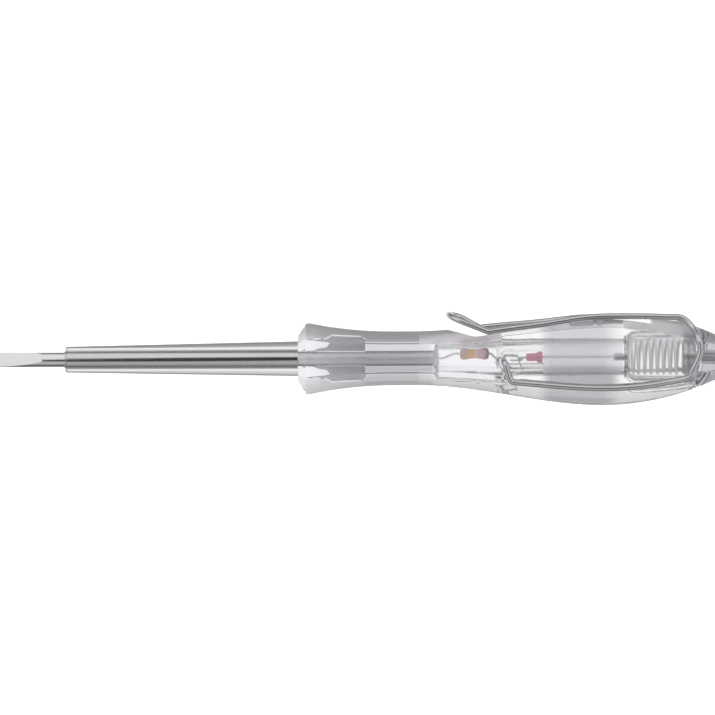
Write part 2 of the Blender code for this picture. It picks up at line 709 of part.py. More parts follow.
def make_contacts():
    """Plunger, coil spring, stud and touch cap: the path from the lamp to the user's finger."""
    disc_front = spring_bore_front + FIT_GAP
    disc_rear = disc_front + PLUNGER_DISC_THICKNESS
    pin_front = disc_front - PLUNGER_PIN_LENGTH
    turned("contact_plunger", [(pin_front, 0), (pin_front, PLUNGER_PIN_RADIUS), (disc_front, PLUNGER_PIN_RADIUS),
                               (disc_front, PLUNGER_DISC_RADIUS), (disc_rear, PLUNGER_DISC_RADIUS),
                               (disc_rear, 0)], SMALL_STEPS, nickel)
    head_front = handle_rear - STUD_HEAD_LENGTH
    make_spring(disc_rear + FIT_GAP, head_front - FIT_GAP)
    head_radius = SPRING_BORE_RADIUS - FIT_GAP
    stem_end = tail_end + STUD_STEM_GRIP
    turned("contact_stud", [(head_front, 0), (head_front, head_radius - STUD_HEAD_CHAMFER),
                            (head_front + STUD_HEAD_CHAMFER, head_radius), (handle_rear, head_radius),
                            (handle_rear, STUD_STEM_RADIUS), (stem_end, STUD_STEM_RADIUS), (stem_end, 0)],
           BORE_STEPS, nickel)
    cap_front = tail_end + FIT_GAP
    cap_rear = cap_front + TOUCH_CAP_LENGTH
    socket = STUD_STEM_RADIUS + FIT_GAP
    socket_end = stem_end + FIT_GAP
    rim_x = cap_front + TOUCH_CAP_RIM
    dome = [(mix(rim_x, cap_rear, math.sin(math.radians(degrees))),
             mix(TOUCH_CAP_FACE_RADIUS, TOUCH_CAP_RADIUS, math.cos(math.radians(degrees))))
            for degrees in steps_between(0, 90, ROUND_STEPS + 1)]
    turned("touch_cap", [(socket_end, 0), (socket_end, socket), (cap_front, socket),
                         (cap_front, TOUCH_CAP_RADIUS)] + dome + [(cap_rear, 0)], BORE_STEPS, nickel)


def make_spring(start_x, end_x):
    """Coil spring as one tube with a short straight end at each seat, and its gaps printed."""
    radius = SPRING_WIRE_DIAMETER / 2
    coil_radius = SPRING_OUTER_RADIUS - radius
    first = start_x + radius + SPRING_WIRE_DIAMETER
    last = end_x - radius - SPRING_WIRE_DIAMETER
    count = SPRING_TURNS * SPRING_STEPS
    coil = []
    for step in range(count + 1):
        angle = math.tau * step / SPRING_STEPS
        coil.append(Vector((mix(first, last, step / count), coil_radius * math.cos(angle),
                            coil_radius * math.sin(angle))))
    lead_in = Vector((SPRING_WIRE_DIAMETER + radius, 0, 0))
    path = [coil[0] - lead_in] + coil + [coil[-1] + lead_in]
    gaps = [(a - b).length - SPRING_WIRE_DIAMETER for index, a in enumerate(coil)
            for b in coil[index + SPRING_STEPS // 2:]]
    print("contact_spring least gap to itself (mm):", round(min(gaps) * 1000, 3))
    tube("contact_spring", path, radius, spring_steel, resolution=1)


def make_clip():
    """Bent wire clip: the springy looped legs, and the two fixed arms that hook into the handle."""
    tube("clip_legs", legs_path(), wire_radius, spring_steel)
    for side, label in ((1, "near"), (-1, "far")):
        tube("clip_arm_" + label, arm_path(side), wire_radius, spring_steel)


for existing in list(bpy.data.objects):
    bpy.data.objects.remove(existing)
tool = new_collection("voltage_tester_screwdriver")
cutters = new_collection("cutters")

steel = new_material("blade_steel", (0.72, 0.72, 0.70), 0.25, 1.0, 0.0)
spring_steel = new_material("spring_wire", (0.66, 0.66, 0.65), 0.30, 1.0, 0.0)
nickel = new_material("nickel_plate", (0.70, 0.69, 0.68), 0.25, 1.0, 0.0)
tinned = new_material("tinned_copper", (0.62, 0.62, 0.60), 0.35, 1.0, 0.0)
clear_plastic = new_material("clear_plastic", (0.90, 0.90, 0.92), 0.06, 0.0, 1.0)
sleeve_plastic = new_material("sleeve_plastic", (0.86, 0.86, 0.88), 0.08, 0.0, 1.0)
lamp_glass = new_material("lamp_glass", (0.88, 0.92, 0.88), 0.03, 0.0, 1.0)
ceramic = new_material("resistor_lacquer", (0.62, 0.50, 0.36), 0.45, 0.0, 0.0)
bead_red = new_material("bead_red", (0.62, 0.10, 0.20), 0.30, 0.0, 0.0)

make_blade()
make_sleeve()
body = make_handle()
groove_cutters = [groove_cutter(1, "near"), groove_cutter(-1, "far")]
for cutter in groove_cutters:
    combine(body, cutter, folded=True)
combine(body, hook_hole(1, "near"))
combine(body, hook_hole(-1, "far"))
make_tail(groove_cutters)
make_resistor()
make_lamp()
make_contacts()
make_clip()
print("overall length (mm):", round((tail_end + FIT_GAP + TOUCH_CAP_LENGTH) * 1000, 2))
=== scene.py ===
# %% [markdown]
# A voltage tester screwdriver: an insulated blade, a clear six-sided handle with a small lamp circuit
# inside, and a bent wire clip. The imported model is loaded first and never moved. Every piece made here
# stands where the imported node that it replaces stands.

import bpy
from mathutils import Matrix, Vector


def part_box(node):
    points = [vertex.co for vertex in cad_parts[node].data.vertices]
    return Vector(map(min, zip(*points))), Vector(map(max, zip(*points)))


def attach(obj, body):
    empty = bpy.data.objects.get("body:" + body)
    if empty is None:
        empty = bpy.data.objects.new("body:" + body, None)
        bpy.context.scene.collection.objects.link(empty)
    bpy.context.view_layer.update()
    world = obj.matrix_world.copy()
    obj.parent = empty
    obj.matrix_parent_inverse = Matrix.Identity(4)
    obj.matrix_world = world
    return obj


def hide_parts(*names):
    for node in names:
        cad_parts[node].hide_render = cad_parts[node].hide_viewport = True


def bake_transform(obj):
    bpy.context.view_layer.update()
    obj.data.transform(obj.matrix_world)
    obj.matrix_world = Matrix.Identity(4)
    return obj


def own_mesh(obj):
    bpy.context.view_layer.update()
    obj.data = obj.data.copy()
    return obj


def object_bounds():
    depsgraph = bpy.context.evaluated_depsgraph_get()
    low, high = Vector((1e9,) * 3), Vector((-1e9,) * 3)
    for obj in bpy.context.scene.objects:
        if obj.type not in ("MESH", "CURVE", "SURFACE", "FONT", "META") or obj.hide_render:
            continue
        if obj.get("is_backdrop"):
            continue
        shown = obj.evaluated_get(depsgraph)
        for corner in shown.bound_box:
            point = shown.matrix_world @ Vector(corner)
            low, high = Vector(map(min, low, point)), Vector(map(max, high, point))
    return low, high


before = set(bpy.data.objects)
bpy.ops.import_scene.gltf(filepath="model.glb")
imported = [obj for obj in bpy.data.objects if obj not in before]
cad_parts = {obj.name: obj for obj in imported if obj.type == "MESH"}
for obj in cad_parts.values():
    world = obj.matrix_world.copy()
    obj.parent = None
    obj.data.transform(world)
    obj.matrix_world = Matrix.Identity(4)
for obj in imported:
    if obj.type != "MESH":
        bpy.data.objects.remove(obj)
cad_low, cad_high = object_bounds()
print("packed nodes:", len(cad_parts))
print("packed box (mm):", [round((high - low) * 1000, 1) for low, high in zip(cad_low, cad_high)])

# %% [markdown]
# Three modules do the shaping. bpy holds the scene, bmesh offers the operators of edit mode on a mesh in
# memory, and mathutils gives vectors and matrices. A bmesh is quick and needs no selected object. A first
# helper puts an object into the scene.

# %% Modules
import math

import bmesh
import bpy
from mathutils import Matrix, Vector

scene = bpy.context.scene


def added(name, data):
    """A new object of the scene at the origin."""
    item = bpy.data.objects.new(name, data)
    scene.collection.objects.link(item)
    return item


print("Blender:", bpy.app.version_string)

# %% [markdown]
# The camera comes first, because the whole piece is judged through it. The photograph looks straight down
# on the tool, with the tip at the left edge and the tail cut off by the right edge. A long lens far away
# gives its flat perspective. Light may bounce often, because it crosses many clear surfaces.

# %% Camera over the tool
VIEW_CENTRE_X = 0.0719
VIEW_CENTRE_Y = 0.00019
VIEW_WIDTH = 0.1430
VIEW_ROLL = -0.0043
LENS = 180.0
SENSOR = 36.0
NEAREST = 0.01
FARTHEST = 20.0
CLEAR_BOUNCES = 40
MIRROR_BOUNCES = 32

camera_data = bpy.data.cameras.new("photo_camera")
camera_data.lens = LENS
camera_data.sensor_width = SENSOR
camera_data.clip_start = NEAREST
camera_data.clip_end = FARTHEST
camera = added("photo_camera", camera_data)
camera.location = (VIEW_CENTRE_X, VIEW_CENTRE_Y, VIEW_WIDTH * LENS / SENSOR)
camera.rotation_euler = (0, 0, VIEW_ROLL)
scene.camera = camera
scene.view_settings.view_transform = "Standard"
scene.cycles.max_bounces = scene.cycles.transmission_bounces = CLEAR_BOUNCES
scene.cycles.glossy_bounces = MIRROR_BOUNCES
print("camera height (m):", round(camera.location.z, 3))

# %% [markdown]
# The world and every finish are trees of shader nodes. Added by hand, a node takes several lines, so one
# helper adds a node with its settings and inputs in a single call, and another makes a colour ramp.

# %% Node helpers
def adder(tree):
    """A function that adds a node to a tree. A node given as an input stands for its first output."""
    def add(kind, settings=None, **inputs):
        node = tree.nodes.new(kind)
        for key, value in (settings or {}).items():
            setattr(node, key, value)
        for key, value in inputs.items():
            numbered = key[0] == "i" and key[1:].isdigit()
            socket = node.inputs[int(key[1:]) if numbered else key.replace("_", " ")]
            if isinstance(value, bpy.types.Node):
                value = value.outputs[0]
            if isinstance(value, bpy.types.NodeSocket):
                tree.links.new(value, socket)
            else:
                socket.default_value = value
        return node

    return add


def new_tree(tree):
    """Empty a node tree and return its adder."""
    tree.nodes.clear()
    return adder(tree)


def ramp(add, value, stops):
    """A colour ramp node from stops of place and colour."""
    node = add("ShaderNodeValToRGB", Fac=value)
    elements = node.color_ramp.elements
    while len(elements) < len(stops):
        elements.new(0.5)
    for element, (place, colour) in zip(elements, stops):
        element.position = place
        element.color = (*colour, 1.0)
    return node.outputs["Color"]


print("node helpers:", ", ".join(helper.__name__ for helper in (adder, new_tree, ramp)))

# %% [markdown]
# Clear plastic shows what is behind and around it, so the surroundings matter as much as the lamps. They
# could be a picture of a studio, but a few greys in rings round the tool's axis are enough and easy to
# tune. The sky is white straight below, as over a lit table, and falls off to grey at the sides, which
# gives the sloping faces their grey and the steel its dark stripes. A dark spot straight above draws the
# line along the middle of the blade. The camera and matt surfaces see plain white instead.

# %% World
SKY_STOPS = ((-180, 1.00), (-155, 0.97), (-141, 0.44), (-124, 0.24), (-112, 0.12), (-98, 0.14),
             (-80, 0.40), (-60, 0.56), (-30, 0.54), (-10, 0.78), (20, 0.92), (60, 0.94), (78, 0.60),
             (92, 0.12), (110, 0.12), (124, 0.56), (141, 0.76), (155, 0.98), (180, 1.00))
OVERHEAD_DARK = 0.94
OVERHEAD_EDGE = 0.90
OVERHEAD_CORE = 0.955
END_GREY = 0.55
END_START = 0.70

world = bpy.data.worlds.new("soft_studio")
scene.world = world
world.use_nodes = True
add = new_tree(world.node_tree)
direction = add("ShaderNodeSeparateXYZ", i0=add("ShaderNodeTexCoord").outputs["Generated"])
turn = add("ShaderNodeMath", {"operation": "ARCTAN2"}, i0=direction.outputs["Y"], i1=direction.outputs["Z"])
place = add("ShaderNodeMath", {"operation": "MULTIPLY_ADD"}, i0=turn, i1=1 / math.tau, i2=0.5)
sky = [(degrees / 360 + 0.5, (grey, grey, grey)) for degrees, grey in SKY_STOPS]
strips = ramp(add, place, sky)
along = add("ShaderNodeMath", {"operation": "ABSOLUTE"}, i0=direction.outputs["X"])
at_ends = add("ShaderNodeMapRange", Value=along, From_Min=END_START, From_Max=1.0)
grey = add("ShaderNodeMix", {"data_type": "RGBA"}, i0=at_ends, i6=strips,
           i7=(END_GREY, END_GREY, END_GREY, 1.0))
overhead = add("ShaderNodeMapRange", Value=direction.outputs["Z"], From_Min=OVERHEAD_EDGE,
               From_Max=OVERHEAD_CORE, To_Min=1.0, To_Max=1.0 - OVERHEAD_DARK)
surroundings = add("ShaderNodeBackground", Color=grey.outputs[2], Strength=overhead)
plain_white = add("ShaderNodeBackground", Color=(1.0, 1.0, 1.0, 1.0), Strength=1.0)
seen = add("ShaderNodeLightPath")
even = add("ShaderNodeMath", {"operation": "MINIMUM"}, i0=seen.outputs["Diffuse Depth"], i1=1.0)
plain = add("ShaderNodeMath", {"operation": "MAXIMUM"}, i0=seen.outputs["Is Camera Ray"], i1=even)
mixed = add("ShaderNodeMixShader", i0=plain, i1=surroundings, i2=plain_white)
add("ShaderNodeOutputWorld", Surface=mixed)
print("world stops:", len(SKY_STOPS))

# %% [markdown]
# The floor is one pale square under the tool. It keeps the tool's soft shadow, and a glow that only the
# camera sees brings it up to white without more light on the tool. Plastic and steel don't see it, because
# the world already gives them the white below.

# %% Floor
FLOOR_SIZE = 4.0
FLOOR_GREY = 0.80
FLOOR_GLOW = 0.60

floor_shape = bmesh.new()
bmesh.ops.create_grid(floor_shape, x_segments=1, y_segments=1, size=FLOOR_SIZE / 2)
floor_mesh = bpy.data.meshes.new("floor")
floor_shape.to_mesh(floor_mesh)
floor_shape.free()
floor = added("floor", floor_mesh)
floor.location = (VIEW_CENTRE_X, 0, cad_low.z)
floor.visible_transmission = False
floor.visible_glossy = False
floor_paper = bpy.data.materials.new("floor_paper")
floor_paper.use_nodes = True
add = new_tree(floor_paper.node_tree)
lit = add("ShaderNodeBsdfDiffuse", Color=(FLOOR_GREY, FLOOR_GREY, FLOOR_GREY, 1.0))
seen = add("ShaderNodeLightPath")
strength = add("ShaderNodeMath", {"operation": "MULTIPLY"}, i0=seen.outputs["Is Camera Ray"], i1=FLOOR_GLOW)
glow = add("ShaderNodeEmission", Color=(1.0, 1.0, 1.0, 1.0), Strength=strength)
both = add("ShaderNodeAddShader", i0=lit, i1=glow)
add("ShaderNodeOutputMaterial", Surface=both)
floor_mesh.materials.append(floor_paper)
floor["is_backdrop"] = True
print("floor height (mm):", round(floor.location.z * 1000, 2))

# %% [markdown]
# One large square lamp stands high over the tool, a little to the clip's side. A small lamp or a sun would
# give hard shadows and hot spots, and the photograph shows only soft ones.

# %% Soft lamp
LAMP_SIZE = 1.2
LAMP_POWER = 3.0
LAMP_HEIGHT = 0.9
LAMP_SIDE = 0.12

lamp_data = bpy.data.lights.new("soft_box", "AREA")
lamp_data.shape = "SQUARE"
lamp_data.size = LAMP_SIZE
lamp_data.energy = LAMP_POWER
soft_box = added("soft_box", lamp_data)
soft_box.location = (VIEW_CENTRE_X, LAMP_SIDE, LAMP_HEIGHT)
soft_box.rotation_euler = (-math.atan2(LAMP_SIDE, LAMP_HEIGHT), 0, 0)
soft_box.visible_glossy = False
soft_box.visible_transmission = False
print("lamp power (W):", lamp_data.energy)

# %% [markdown]
# Three surface effects are shared by several finishes, so each is a node group that is built once: fine
# handling scratches, lines drawn along a wire or blade, and the slow waviness of a moulded part.

# %% Shared effects as node groups
def effect_group(name, scale):
    """A shader node group with inputs Scale and Amount and output Mask, with what is needed to fill it."""
    group = bpy.data.node_groups.new(name, "ShaderNodeTree")
    for label, value in (("Scale", scale), ("Amount", 1.0)):
        socket = group.interface.new_socket(label, in_out="INPUT", socket_type="NodeSocketFloat")
        socket.default_value = value
    group.interface.new_socket("Mask", in_out="OUTPUT", socket_type="NodeSocketFloat")
    add = new_tree(group)
    return group, add, add("NodeGroupInput"), add("ShaderNodeTexCoord").outputs["Object"]


def put_out(add, given, value):
    """Send a value out of a group as its mask, times the group's amount."""
    amount = add("ShaderNodeMath", {"operation": "MULTIPLY"}, i0=value, i1=given.outputs["Amount"])
    add("NodeGroupOutput", Mask=amount)


SCRATCH_STRETCH = (0.12, 1.0, 1.0)
SCRATCH_TURN = 0.5
SCRATCH_EDGE = 0.62
SCRATCH_CORE = 0.72
DRAWN_STRETCH = (0.02, 1.0, 1.0)

scratches, add, given, spot = effect_group("fine_scratches", 900.0)
layers = []
for turn in (SCRATCH_TURN, -SCRATCH_TURN):
    mapping = add("ShaderNodeMapping", Vector=spot, Rotation=(0.0, 0.0, turn), Scale=SCRATCH_STRETCH)
    noise = add("ShaderNodeTexNoise", Vector=mapping, Scale=given.outputs["Scale"], Detail=3.0)
    thin = add("ShaderNodeMapRange", Value=noise.outputs["Fac"], From_Min=SCRATCH_EDGE, From_Max=SCRATCH_CORE)
    layers.append(thin)
crossed = add("ShaderNodeMath", {"operation": "MAXIMUM"}, i0=layers[0], i1=layers[1])
put_out(add, given, crossed)

drawn, add, given, spot = effect_group("drawn_lines", 2500.0)
mapping = add("ShaderNodeMapping", Vector=spot, Scale=DRAWN_STRETCH)
noise = add("ShaderNodeTexNoise", Vector=mapping, Scale=given.outputs["Scale"], Detail=2.0)
put_out(add, given, noise.outputs["Fac"])

waves, add, given, spot = effect_group("moulded_waves", 90.0)
noise = add("ShaderNodeTexNoise", Vector=spot, Scale=given.outputs["Scale"], Detail=1.0)
put_out(add, given, noise.outputs["Fac"])
print("node groups:", [group.name for group in (scratches, drawn, waves)])

# %% [markdown]
# Each finish is a Principled shader of its own. Its colour varies slightly between two tints, its roughness
# between two values, and a small bump carries the grain. Values that are the same all over are set on the
# shader's own sockets. A second helper lets a finish follow its own tints along the tool, and others in a
# band beside it. On the handle these tints are painted shade. On the resistor they are its colour bands,
# with a painted shade at its rear end.

# %% Finish helpers
BUMP_STRENGTH = 0.5
BAND_SOFTNESS = 0.0003


def finish(name, tints, roughness, bump, effect, scale, sockets):
    """A Principled finish whose tint, roughness and bump follow one shared effect."""
    material = bpy.data.materials.new(name + "_finish")
    material.use_nodes = True
    add = new_tree(material.node_tree)
    shader = add("ShaderNodeBsdfPrincipled")
    for key, value in sockets.items():
        shader.inputs[key].default_value = value
    mask = add("ShaderNodeGroup", {"node_tree": effect}, Scale=scale).outputs["Mask"]
    links = material.node_tree.links
    colours = [(*tint, 1.0) for tint in tints]
    tint = add("ShaderNodeMix", {"data_type": "RGBA"}, i0=mask, i6=colours[0], i7=colours[1])
    links.new(tint.outputs[2], shader.inputs["Base Color"])
    rough = add("ShaderNodeMapRange", Value=mask, To_Min=roughness[0], To_Max=roughness[1])
    links.new(rough.outputs[0], shader.inputs["Roughness"])
    depth = add("ShaderNodeBump", Distance=bump, Strength=BUMP_STRENGTH, Height=mask)
    links.new(depth.outputs[0], shader.inputs["Normal"])
    add("ShaderNodeOutputMaterial", Surface=shader)
    return material


def graded(material, name, start, end, stops, band_stops=None, band=None):
    """A copy of a finish whose base colour follows stops along the tool, and others in a band beside it."""
    changed = material.copy()
    changed.name = name + "_finish"
    add = adder(changed.node_tree)
    position = add("ShaderNodeSeparateXYZ", Vector=add("ShaderNodeTexCoord").outputs["Object"])
    share = add("ShaderNodeMapRange", Value=position.outputs["X"], From_Min=start, From_Max=end)
    colour = ramp(add, share, stops)
    if band_stops:
        middle, half_width = band
        offset = add("ShaderNodeMath", {"operation": "SUBTRACT"}, i0=position.outputs["Y"], i1=middle)
        distance = add("ShaderNodeMath", {"operation": "ABSOLUTE"}, i0=offset)
        outside = add("ShaderNodeMapRange", Value=distance, From_Min=half_width,
                      From_Max=half_width + BAND_SOFTNESS)
        inside_colour = ramp(add, share, band_stops)
        both = add("ShaderNodeMix", {"data_type": "RGBA"}, i0=outside, i6=inside_colour, i7=colour)
        colour = both.outputs[2]
    shader = next(node for node in changed.node_tree.nodes if node.type == "BSDF_PRINCIPLED")
    changed.node_tree.links.new(colour, shader.inputs["Base Color"])
    return changed


def painted(piece, finishes, chosen):
    """Add finishes to a piece, and give each face the one that is chosen from its centre and normal."""
    for material in finishes:
        piece.data.materials.append(material)
    for face in piece.data.polygons:
        face.material_index = chosen(face.center, face.normal)
    return piece


print("finish helpers:", ", ".join(helper.__name__ for helper in (finish, graded, painted)))

# %% [markdown]
# The handle is moulded from one clear plastic, but its surfaces differ: polished in front, satin at the
# belly, frosted where a tool held the mould, and duller inside the bores. One clear finish for all would
# show every part inside twice, mirrored in the slopes. The bores' finishes bend light less than plastic
# does, which narrows the dark lines along a round hole.

# %% Clear plastics
PLASTIC = {"Transmission Weight": 1.0, "IOR": 1.50}

clear_plastic = finish("clear_plastic", ((0.975, 0.968, 0.995), (0.96, 0.952, 0.985)), (0.015, 0.05),
                       0.000004, waves, 140.0, PLASTIC)
satin_plastic = finish("satin_plastic", ((0.975, 0.968, 0.995), (0.96, 0.952, 0.985)), (0.08, 0.16),
                       0.00008, drawn, 1400.0, PLASTIC)
frosted_skin = finish("frosted_skin", ((0.90, 0.893, 0.92), (0.86, 0.853, 0.88)), (0.48, 0.62),
                      0.00001, waves, 700.0, PLASTIC)
bore_plastic = finish("bore_plastic", ((0.985, 0.978, 0.995), (0.965, 0.958, 0.98)), (0.42, 0.54),
                      0.00006, drawn, 1100.0, {"Transmission Weight": 1.0, "IOR": 1.25})
frosted_plastic = finish("frosted_plastic", ((0.99, 0.985, 1.0), (0.97, 0.965, 0.99)), (0.74, 0.90),
                         0.00003, drawn, 1100.0, {"Transmission Weight": 1.0, "IOR": 1.32})
chamber_plastic = finish("chamber_plastic", ((1.0, 0.995, 1.0), (0.99, 0.985, 1.0)), (0.10, 0.18),
                         0.00003, drawn, 1100.0, {"Transmission Weight": 1.0, "IOR": 1.28})
# A painted shade for the walls of the hook pockets, darker than their clear floor.
pocket_painted_shade = finish("pocket_painted_shade", ((0.50, 0.49, 0.52), (0.40, 0.39, 0.42)), (0.25, 0.40),
                     0.000006, scratches, 1500.0, PLASTIC)
# A dark painted shade for the walls of the near groove and trough beside the arm.
groove_painted_shade = finish("groove_painted_shade", ((0.17, 0.165, 0.175), (0.11, 0.107, 0.115)), (0.20, 0.35),
                     0.000006, drawn, 1500.0, PLASTIC)
# A grey tint that makes the end plug darker than the handle.
grey_tinted_plastic = finish("grey_tinted_plastic", ((0.62, 0.60, 0.65), (0.57, 0.555, 0.60)), (0.02, 0.06),
                       0.000004, waves, 140.0, PLASTIC)
sleeve_plastic = finish("sleeve_plastic", ((0.93, 0.93, 0.95), (0.90, 0.90, 0.92)), (0.02, 0.06),
                        0.000004, waves, 160.0, PLASTIC)
print("clear plastics:", sum("plastic" in material.name for material in bpy.data.materials))

# %% [markdown]
# The lamp is thin glass, the bead is glazed red and the resistor is lacquered. The lacquer's base is tan,
# and its colour bands are added where the resistor is made.

# %% Glass, glaze and lacquer
lamp_glass = finish("lamp_glass", ((0.99, 1.0, 0.99), (0.98, 0.995, 0.985)), (0.03, 0.08),
                    0.000003, waves, 300.0, {"Transmission Weight": 1.0, "IOR": 1.12})
red_glaze = finish("red_glaze", ((1.0, 0.52, 0.63), (0.98, 0.44, 0.56)), (0.20, 0.35),
                   0.000004, waves, 900.0, {"Coat Weight": 0.5})
tan_lacquer = finish("tan_lacquer", ((0.92, 0.70, 0.56), (0.84, 0.62, 0.48)), (0.30, 0.45),
                     0.000005, waves, 1500.0, {"Coat Weight": 0.3})
print("lamp, bead and resistor:", lamp_glass.name, red_glaze.name, tan_lacquer.name)

# %% [markdown]
# The metals differ in how bright and how rough they are: a ground tip, a forged and duller stretch inside
# the handle, drawn wire, and turned contacts plated with nickel. The parts deep inside are given little
# Metallic, because a mirror there would show the greys of the sky where the photograph shows pale metal.

# %% Metals
METAL = {"Metallic": 1.0}

ground_steel = finish("ground_steel", ((0.82, 0.815, 0.80), (0.74, 0.735, 0.73)), (0.08, 0.18),
                      0.000004, drawn, 2500.0, METAL)
forged_steel = finish("forged_steel", ((0.90, 0.89, 0.90), (0.78, 0.77, 0.78)), (0.42, 0.58),
                      0.000006, scratches, 900.0, {"Metallic": 0.4})
spring_wire = finish("spring_wire", ((0.70, 0.69, 0.705), (0.60, 0.595, 0.61)), (0.18, 0.30),
                     0.000004, drawn, 2500.0, METAL)
bright_spring = finish("bright_spring", ((0.97, 0.97, 0.98), (0.92, 0.92, 0.93)), (0.36, 0.50),
                       0.000003, scratches, 1400.0, {"Metallic": 0.05})
coated_wire = finish("coated_wire", ((0.86, 0.88, 0.84), (0.76, 0.78, 0.74)), (0.50, 0.70),
                     0.000004, scratches, 1800.0, {"Metallic": 0.15})
nickel = finish("nickel", ((0.76, 0.75, 0.74), (0.66, 0.65, 0.64)), (0.14, 0.30),
                0.000003, scratches, 1200.0, METAL)
tinned = finish("tinned", ((0.94, 0.94, 0.93), (0.84, 0.84, 0.83)), (0.45, 0.60),
                0.000003, scratches, 1800.0, {"Metallic": 0.25})
dark_nickel = finish("dark_nickel", ((0.76, 0.75, 0.76), (0.64, 0.63, 0.64)), (0.30, 0.42),
                     0.000003, scratches, 1200.0, {"Metallic": 0.8})
print("finishes:", sum(material.name.endswith("_finish") for material in bpy.data.materials))

# %% [markdown]
# The shapes are worked out from a few plain helpers: a value between two others, evenly spaced values, and
# a smooth curve that passes through all of its knots, which suits bent wire better than a Bezier curve.

# %% Numbers and paths
def mix(start, end, share):
    """Value at a share of the way from start to end."""
    return start + (end - start) * share


def steps_between(start, end, count):
    """Evenly spaced values from start to end, both included."""
    return [mix(start, end, step / count) for step in range(count + 1)]


def smooth_path(knots, steps):
    """Points of a smooth curve through the knots."""
    padded = [knots[0] * 2 - knots[1]] + knots + [knots[-1] * 2 - knots[-2]]
    path = []
    for before, start, end, after in zip(padded, padded[1:], padded[2:], padded[3:]):
        for step in range(steps):
            t = step / steps
            path.append(0.5 * (2 * start + (end - before) * t
                               + (2 * before - 5 * start + 4 * end - after) * t ** 2
                               + (3 * start - before - 3 * end + after) * t ** 3))
    path.append(knots[-1])
    return path


print("four even steps:", steps_between(0, 1, 4))

# %% [markdown]
# Most parts are turned on a lathe in the factory, and spinning a profile round the tool's axis does the
# same. The full turn is merged, so that no seam is left. Every piece is shaded smooth with its sharp edges
# kept, and stays at the origin with its place in its mesh.

# %% Turned pieces
WELD = 0.0000005


def new_piece(name, shape, material, sharp=30.0):
    """An object at the origin from a bmesh, shaded smooth with its sharp edges kept."""
    mesh = bpy.data.meshes.new(name)
    shape.to_mesh(mesh)
    shape.free()
    mesh.materials.append(material)
    mesh.shade_smooth()
    mesh.set_sharp_from_angle(angle=math.radians(sharp))
    return added(name, mesh)


def spun(profile, steps, closed=False):
    """A bmesh turned about the tool's axis from points of place along it and radius."""
    shape = bmesh.new()
    verts = [shape.verts.new((x, radius, 0)) for x, radius in profile]
    ends = zip(verts, verts[1:] + verts[:1]) if closed else zip(verts, verts[1:])
    edges = [shape.edges.new(pair) for pair in ends]
    bmesh.ops.spin(shape, geom=verts + edges, cent=(0, 0, 0), axis=(1, 0, 0), angle=math.tau, steps=steps,
                   use_merge=True)
    bmesh.ops.remove_doubles(shape, verts=shape.verts, dist=WELD)
    bmesh.ops.recalc_face_normals(shape, faces=shape.faces)
    return shape


print("points closer than this are merged (mm):", WELD * 1000)

# %% [markdown]
# A wire is a circle that is extruded from point to point along its path. A curve object with a bevel would
# be quicker, but its circle can twist at a tight bend, and here each ring turns as little as possible.

# %% Wires
def frames_along(path):
    """A matrix at each point of a path, its Z along the path, turned as little as possible."""
    tangents = []
    for index in range(len(path)):
        ahead = path[min(index + 1, len(path) - 1)]
        behind = path[max(index - 1, 0)]
        tangents.append((ahead - behind).normalized())
    across = tangents[0].orthogonal().normalized()
    frames = []
    for point, tangent in zip(path, tangents):
        across = (across - tangent * across.dot(tangent)).normalized()
        turn = Matrix((across, tangent.cross(across), tangent)).transposed().to_4x4()
        frames.append(Matrix.Translation(point) @ turn)
    return frames


def next_ring(shape, ring):
    """Extrude a ring of edges, and return the new ring and its corners."""
    made = bmesh.ops.extrude_edge_only(shape, edges=ring)["geom"]
    kinds = (bmesh.types.BMEdge, bmesh.types.BMVert)
    return [[item for item in made if isinstance(item, kind)] for kind in kinds]


def closed_off(shape, *rings):
    """Fill the end rings of a tube, and turn its faces outwards."""
    for ring in rings:
        bmesh.ops.edgeloop_fill(shape, edges=ring)
    bmesh.ops.recalc_face_normals(shape, faces=shape.faces)
    return shape


def swept(path, radius, sides):
    """A bmesh of a round wire along a path, a circle extruded from point to point."""
    shape = bmesh.new()
    bmesh.ops.create_circle(shape, cap_ends=False, segments=sides, radius=radius)
    frames = frames_along(path)
    bmesh.ops.transform(shape, matrix=frames[0], verts=shape.verts)
    first = list(shape.edges)
    ring = first
    for before, after in zip(frames, frames[1:]):
        ring, verts = next_ring(shape, ring)
        bmesh.ops.transform(shape, matrix=after @ before.inverted(), verts=verts)
    return closed_off(shape, first, ring)


print("frames on a straight path:", len(frames_along([Vector((0, 0, 0)), Vector((1, 0, 0))])))

# %% [markdown]
# Bores, grooves and pockets are cut with a Boolean modifier that is applied at once, and its cutter is then
# removed. The cut faces take the cutter's finish. When a piece is done, it is fixed to the body that it
# moves with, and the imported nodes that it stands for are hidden.

# %% Cuts and fixing
def cut(piece, cutters, sharp=30.0, folded=False, operation="DIFFERENCE"):
    """Cut a piece with each cutter in turn, keep the result as its mesh and remove the cutters."""
    for cutter in cutters:
        modifier = piece.modifiers.new(cutter.name, "BOOLEAN")
        modifier.operation = operation
        modifier.solver = "EXACT"
        modifier.use_self = folded
        modifier.material_mode = "TRANSFER"
        modifier.object = cutter
    bpy.context.view_layer.update()
    evaluated = piece.evaluated_get(bpy.context.evaluated_depsgraph_get())
    mesh = bpy.data.meshes.new_from_object(evaluated)
    piece.modifiers.clear()
    piece.data = mesh
    mesh.shade_smooth()
    mesh.set_sharp_from_angle(angle=math.radians(sharp))
    for cutter in cutters:
        bpy.data.objects.remove(cutter)
    return piece


def stands_for(piece, body, slot, *nodes):
    """Fix a piece to its body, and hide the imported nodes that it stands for."""
    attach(piece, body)
    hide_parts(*nodes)
    print(piece.name, "triangles:", sum(len(face.vertices) - 2 for face in piece.data.polygons))
    return piece


# %% [markdown]
# The handle's outline is the photograph's strongest line: a collar with a chamfered front, a slow curve in
# to a slim neck, a swell to the belly and a taper to the tail. One function gives the distance of its
# corners from the axis, and another gives how deep the two broad side flats lie.

